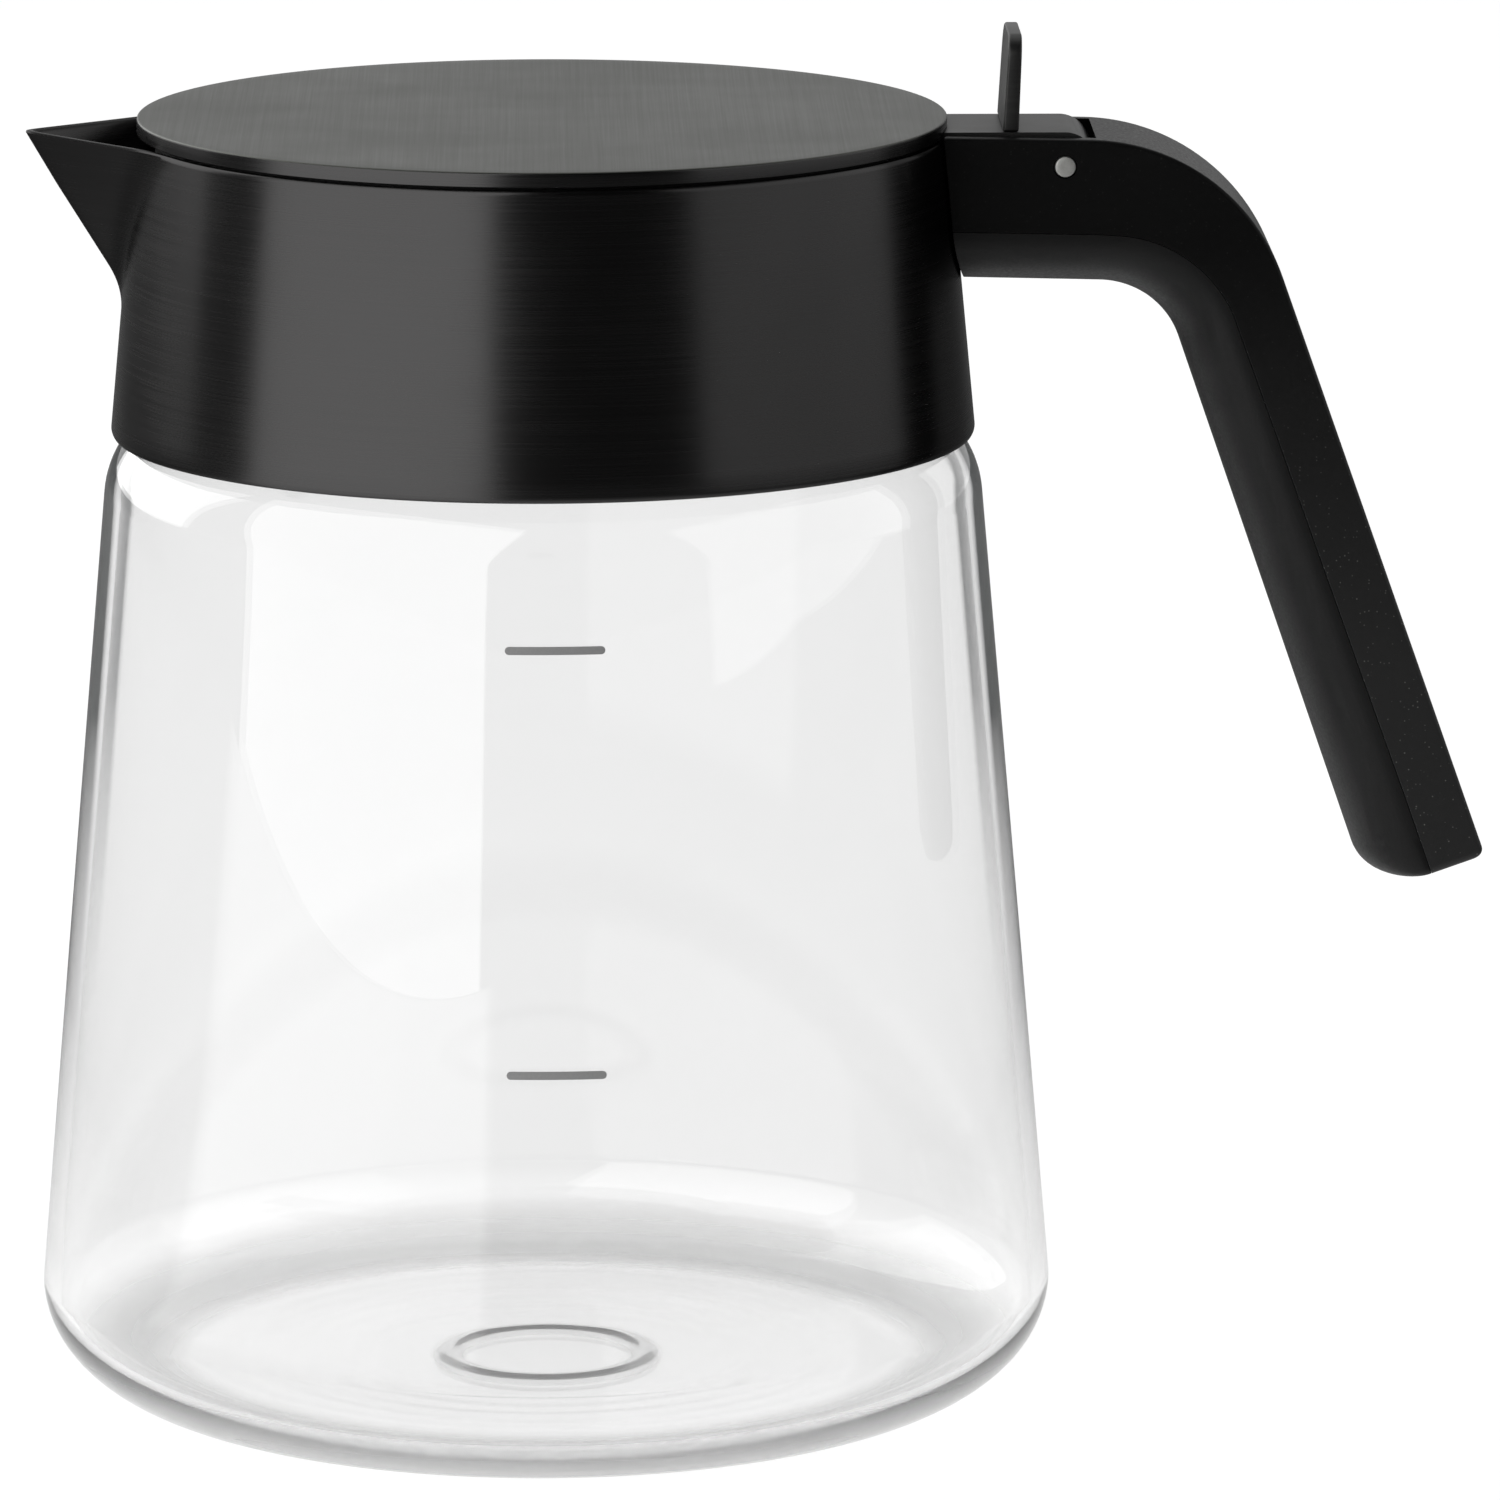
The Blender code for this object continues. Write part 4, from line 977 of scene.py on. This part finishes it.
def screwTree():
    tree, given = startTree("screwsAtPoints", ["Head Radius", "Head Height", "Shank Radius", "Length",
                                               "Socket Radius", "Socket Depth", "Tilt"],
                            "NodeSocketFloat")

    def cylinder(radius, depth, vertices, middle):
        # a cylinder whose middle stands at a height below the head's top
        made = addNode(tree, "GeometryNodeMeshCylinder", {
            "Vertices": vertices, "Radius": radius, "Depth": depth}).outputs["Mesh"]
        place = addNode(tree, "ShaderNodeCombineXYZ", {"Z": middle}).outputs["Vector"]
        return addNode(tree, "GeometryNodeTransform", {
            "Geometry": made, "Translation": place}).outputs["Geometry"]

    def scaled(value, factor):
        return addNode(tree, "ShaderNodeMath", {0: value, 1: factor},
                       operation="MULTIPLY").outputs["Value"]

    head = cylinder(given["Head Radius"], given["Head Height"], 48, scaled(given["Head Height"], -0.5))
    socket = cylinder(given["Socket Radius"], scaled(given["Socket Depth"], 2.0), 6, 0.0)
    shank = cylinder(given["Shank Radius"], given["Length"], 32, scaled(given["Length"], -0.5))
    whole = addNode(tree, "GeometryNodeMeshBoolean", operation="UNION", solver="EXACT")
    tree.links.new(head, whole.inputs["Mesh 2"])
    tree.links.new(shank, whole.inputs["Mesh 2"])
    holed = addNode(tree, "GeometryNodeMeshBoolean", operation="DIFFERENCE", solver="EXACT")
    tree.links.new(whole.outputs["Mesh"], holed.inputs["Mesh 1"])
    tree.links.new(socket, holed.inputs["Mesh 2"])
    turn = addNode(tree, "ShaderNodeCombineXYZ", {"X": given["Tilt"]}).outputs["Vector"]
    placed = addNode(tree, "GeometryNodeInstanceOnPoints", {
        "Points": given["Geometry"], "Instance": holed.outputs["Mesh"], "Rotation": turn})
    return endTree(tree, given, placed.outputs["Instances"])


screwsAtPoints = screwTree()


def makeScrews(name, body, screwNodes, headUp):
    boxes = [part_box(node) for node in screwNodes]
    length = boxes[0][1].z - boxes[0][0].z
    heads = [((low.x + high.x) / 2, (low.y + high.y) / 2, high.z if headUp else low.z)
             for low, high in boxes]
    size = screwSize
    piece = grownPiece(
        name, heads, [], screwsAtPoints, HeadRadius=size["head"] * mm,
        HeadHeight=size["headHeight"] * mm, ShankRadius=size["shank"] * mm, Length=length,
        SocketRadius=size["socket"] * mm, SocketDepth=size["socketDepth"] * mm,
        Tilt=0.0 if headUp else math.pi, Material=screwSteel)
    finishPiece(coatWith(bakeModifiers(piece), screwSteel), body, "bright_steel", *screwNodes)


makeScrews("deckScrews", "jug", ("deck_screw_left", "deck_screw_right"), True)
makeScrews("lidScrews", "lid", ("lid_screw_1", "lid_screw_2", "lid_screw_3"), False)


def dressNode(node, material):
    nodes[node].data.materials.clear()
    nodes[node].data.materials.append(material)


dressNode("handle_bracket", stampedSteel)
dressNode("arm_bumper", silicone)
print("screws made")

# ---- floor, light and camera ----
# the floor's and the lamps' distances are in metres, azimuths in degrees from the front
studio = {"floor": 6.0, "floorGlow": 0.93, "glassGlow": 0.78, "footGlow": 1.0, "glossGlow": 0.04,
          "sweepGlow": 1.3, "underGlassMm": 0.4, "nearGlow": (0.10, 0.28), "footFade": (0.065, 0.11),
          "front": 0.02, "back": 0.6, "backFade": (-0.1, 0.8), "inGlass": 0.8,
          "leftAzimuth": -48, "leftHalf": 35, "leftSoft": 1.5, "leftStart": (0.10, 0.14),
          "leftEnd": (1.09, 1.10)}
# azimuth, elevation, distance, width, height and radiance
lamps = {"leftBox": (studio["leftAzimuth"], 20, 1.0, 1.4, 1.1, 1.7),
         "leftRimBox": (-131, 25, 1.0, 1.0, 0.9, 1.5),
         "rightBox": (76, 20, 1.0, 1.4, 0.8, 0.7),
         "topBox": (180, 70, 1.6, 1.6, 1.2, 0.6)}
cameraSize = {"lens": 253.9, "sensor": 36.0, "place": (-0.00143, -1.26195, 0.33557),
              "tilt": 78.482, "turn": -1.2}


def makeFloor():
    shape = bmesh.new()
    half = studio["floor"]
    bmesh.ops.create_grid(shape, x_segments=1, y_segments=1, size=half)
    floor = linkPiece("floor", meshFrom("floor", shape))
    material, tree, shader = newMaterial("paintedFloor", Roughness=0.9)
    spots = noise(tree, objectPlace(tree), 40.0, 2.0)
    tree.links.new(colorBetween(tree, spots, "666666", "6a6a6a"), shader.inputs["Base Color"])
    shader.inputs["Emission Color"].default_value = (1.0, 1.0, 1.0, 1.0)
    # the sweep glows behind the jug and through the glass, and is dim in the dark pieces' gloss
    ray = addNode(tree, "ShaderNodeLightPath").outputs
    place = objectPlace(tree)
    away = addNode(tree, "ShaderNodeVectorMath", {0: place}, operation="LENGTH")
    near = spread(tree, away.outputs["Value"], studio["glassGlow"], 0.0, *studio["nearGlow"])
    foot = spread(tree, away.outputs["Value"], studio["footGlow"], studio["glassGlow"],
                  *studio["footFade"])
    through = addNode(tree, "ShaderNodeMath", {
        0: ray["Is Transmission Ray"], 1: spread(tree, ray["Transmission Depth"], 0.0, 1.0, 0.0, 1.0)},
        operation="MAXIMUM").outputs["Value"]
    # in front of the left box the sweep glows with a painted pool of that box's light
    turn = math.radians(studio["leftAzimuth"])
    way = addNode(tree, "ShaderNodeVectorMath", {0: place}, operation="NORMALIZE").outputs["Vector"]
    toward = addNode(tree, "ShaderNodeVectorMath", {
        0: way, 1: (math.sin(turn), -math.cos(turn), 0.0)}, operation="DOT_PRODUCT").outputs["Value"]
    soft = studio["leftSoft"]
    edges = [math.cos(math.radians(studio["leftHalf"] + offset)) for offset in (soft, -soft)]
    depth = addNode(tree, "ShaderNodeMath", {0: toward, 1: away.outputs["Value"]},
                    operation="MULTIPLY").outputs["Value"]
    ahead = addNode(tree, "ShaderNodeMath", {
        0: spread(tree, depth, 1.0, 0.0, *studio["leftEnd"]),
        1: spread(tree, away.outputs["Value"], 0.0, 1.0, *studio["leftStart"])}, operation="MULTIPLY")
    sector = addNode(tree, "ShaderNodeMath", {
        0: spread(tree, toward, 0.0, 1.0, *edges), 1: ahead.outputs["Value"]}, operation="MULTIPLY")
    lit = spread(tree, sector.outputs["Value"], studio["glossGlow"], studio["sweepGlow"], 0.0, 1.0)
    glow, under = (
        addNode(tree, "ShaderNodeMath", {0: lit, 1: level}, operation="MAXIMUM").outputs["Value"]
        for level in (near, foot))
    for share, level in ((through, under), (ray["Is Camera Ray"], studio["floorGlow"])):
        glow = addNode(tree, "ShaderNodeMix", {"Factor": share, "A": glow, "B": level}).outputs["Result"]
    tree.links.new(glow, shader.inputs["Emission Strength"])
    floor.data.materials.append(material)
    floor.location.z = -studio["underGlassMm"] * mm


def softBox(name, azimuth, elevation, distance, width, height, radiance):
    # azimuth 0 is in front, towards the camera, and grows to the right
    turn, lift = math.radians(azimuth), math.radians(elevation)
    aim = Vector((0.0, 0.0, 0.09))
    place = aim + distance * Vector((math.sin(turn) * math.cos(lift), -math.cos(turn) * math.cos(lift),
                                     math.sin(lift)))
    light = bpy.data.lights.new(name, "AREA")
    light.shape = "RECTANGLE"
    light.size, light.size_y = width, height
    light.energy = radiance * math.pi * width * height
    lamp = bpy.data.objects.new(name, light)
    lamp.location = place
    lamp.rotation_euler = (aim - place).to_track_quat("-Z", "Y").to_euler()
    bpy.context.scene.collection.objects.link(lamp)


def makeWorld():
    world = bpy.data.worlds.new("studio")
    world.use_nodes = True
    tree = world.node_tree
    background = tree.nodes["Background"]
    ray = addNode(tree, "ShaderNodeLightPath").outputs
    inside = spread(tree, ray["Transmission Depth"], 0.0, studio["inGlass"], 0.0, 1.0)
    seen = addNode(tree, "ShaderNodeMath", {0: ray["Is Camera Ray"], 1: inside},
                   operation="MAXIMUM").outputs["Value"]
    way = addNode(tree, "ShaderNodeTexCoord").outputs["Generated"]
    depth = addNode(tree, "ShaderNodeSeparateXYZ", {"Vector": way}).outputs["Y"]
    lit = spread(tree, depth, studio["front"], studio["back"], *studio["backFade"])
    strength = addNode(tree, "ShaderNodeMath", {0: lit, 1: seen}, operation="MAXIMUM").outputs["Value"]
    background.inputs["Color"].default_value = (1.0, 1.0, 1.0, 1.0)
    tree.links.new(strength, background.inputs["Strength"])
    bpy.context.scene.world = world


def makeCamera():
    size = cameraSize
    data = bpy.data.cameras.new("camera")
    data.lens, data.sensor_width = size["lens"], size["sensor"]
    data.clip_start, data.clip_end = 0.05, 20.0
    camera = bpy.data.objects.new("camera", data)
    camera.location = size["place"]
    camera.rotation_euler = (math.radians(size["tilt"]), 0.0, math.radians(size["turn"]))
    bpy.context.scene.collection.objects.link(camera)
    bpy.context.scene.camera = camera


makeFloor()
makeWorld()
for name, lamp in lamps.items():
    softBox(name, *lamp)
makeCamera()
bpy.context.scene.view_settings.view_transform = "Standard"
print("studio made")
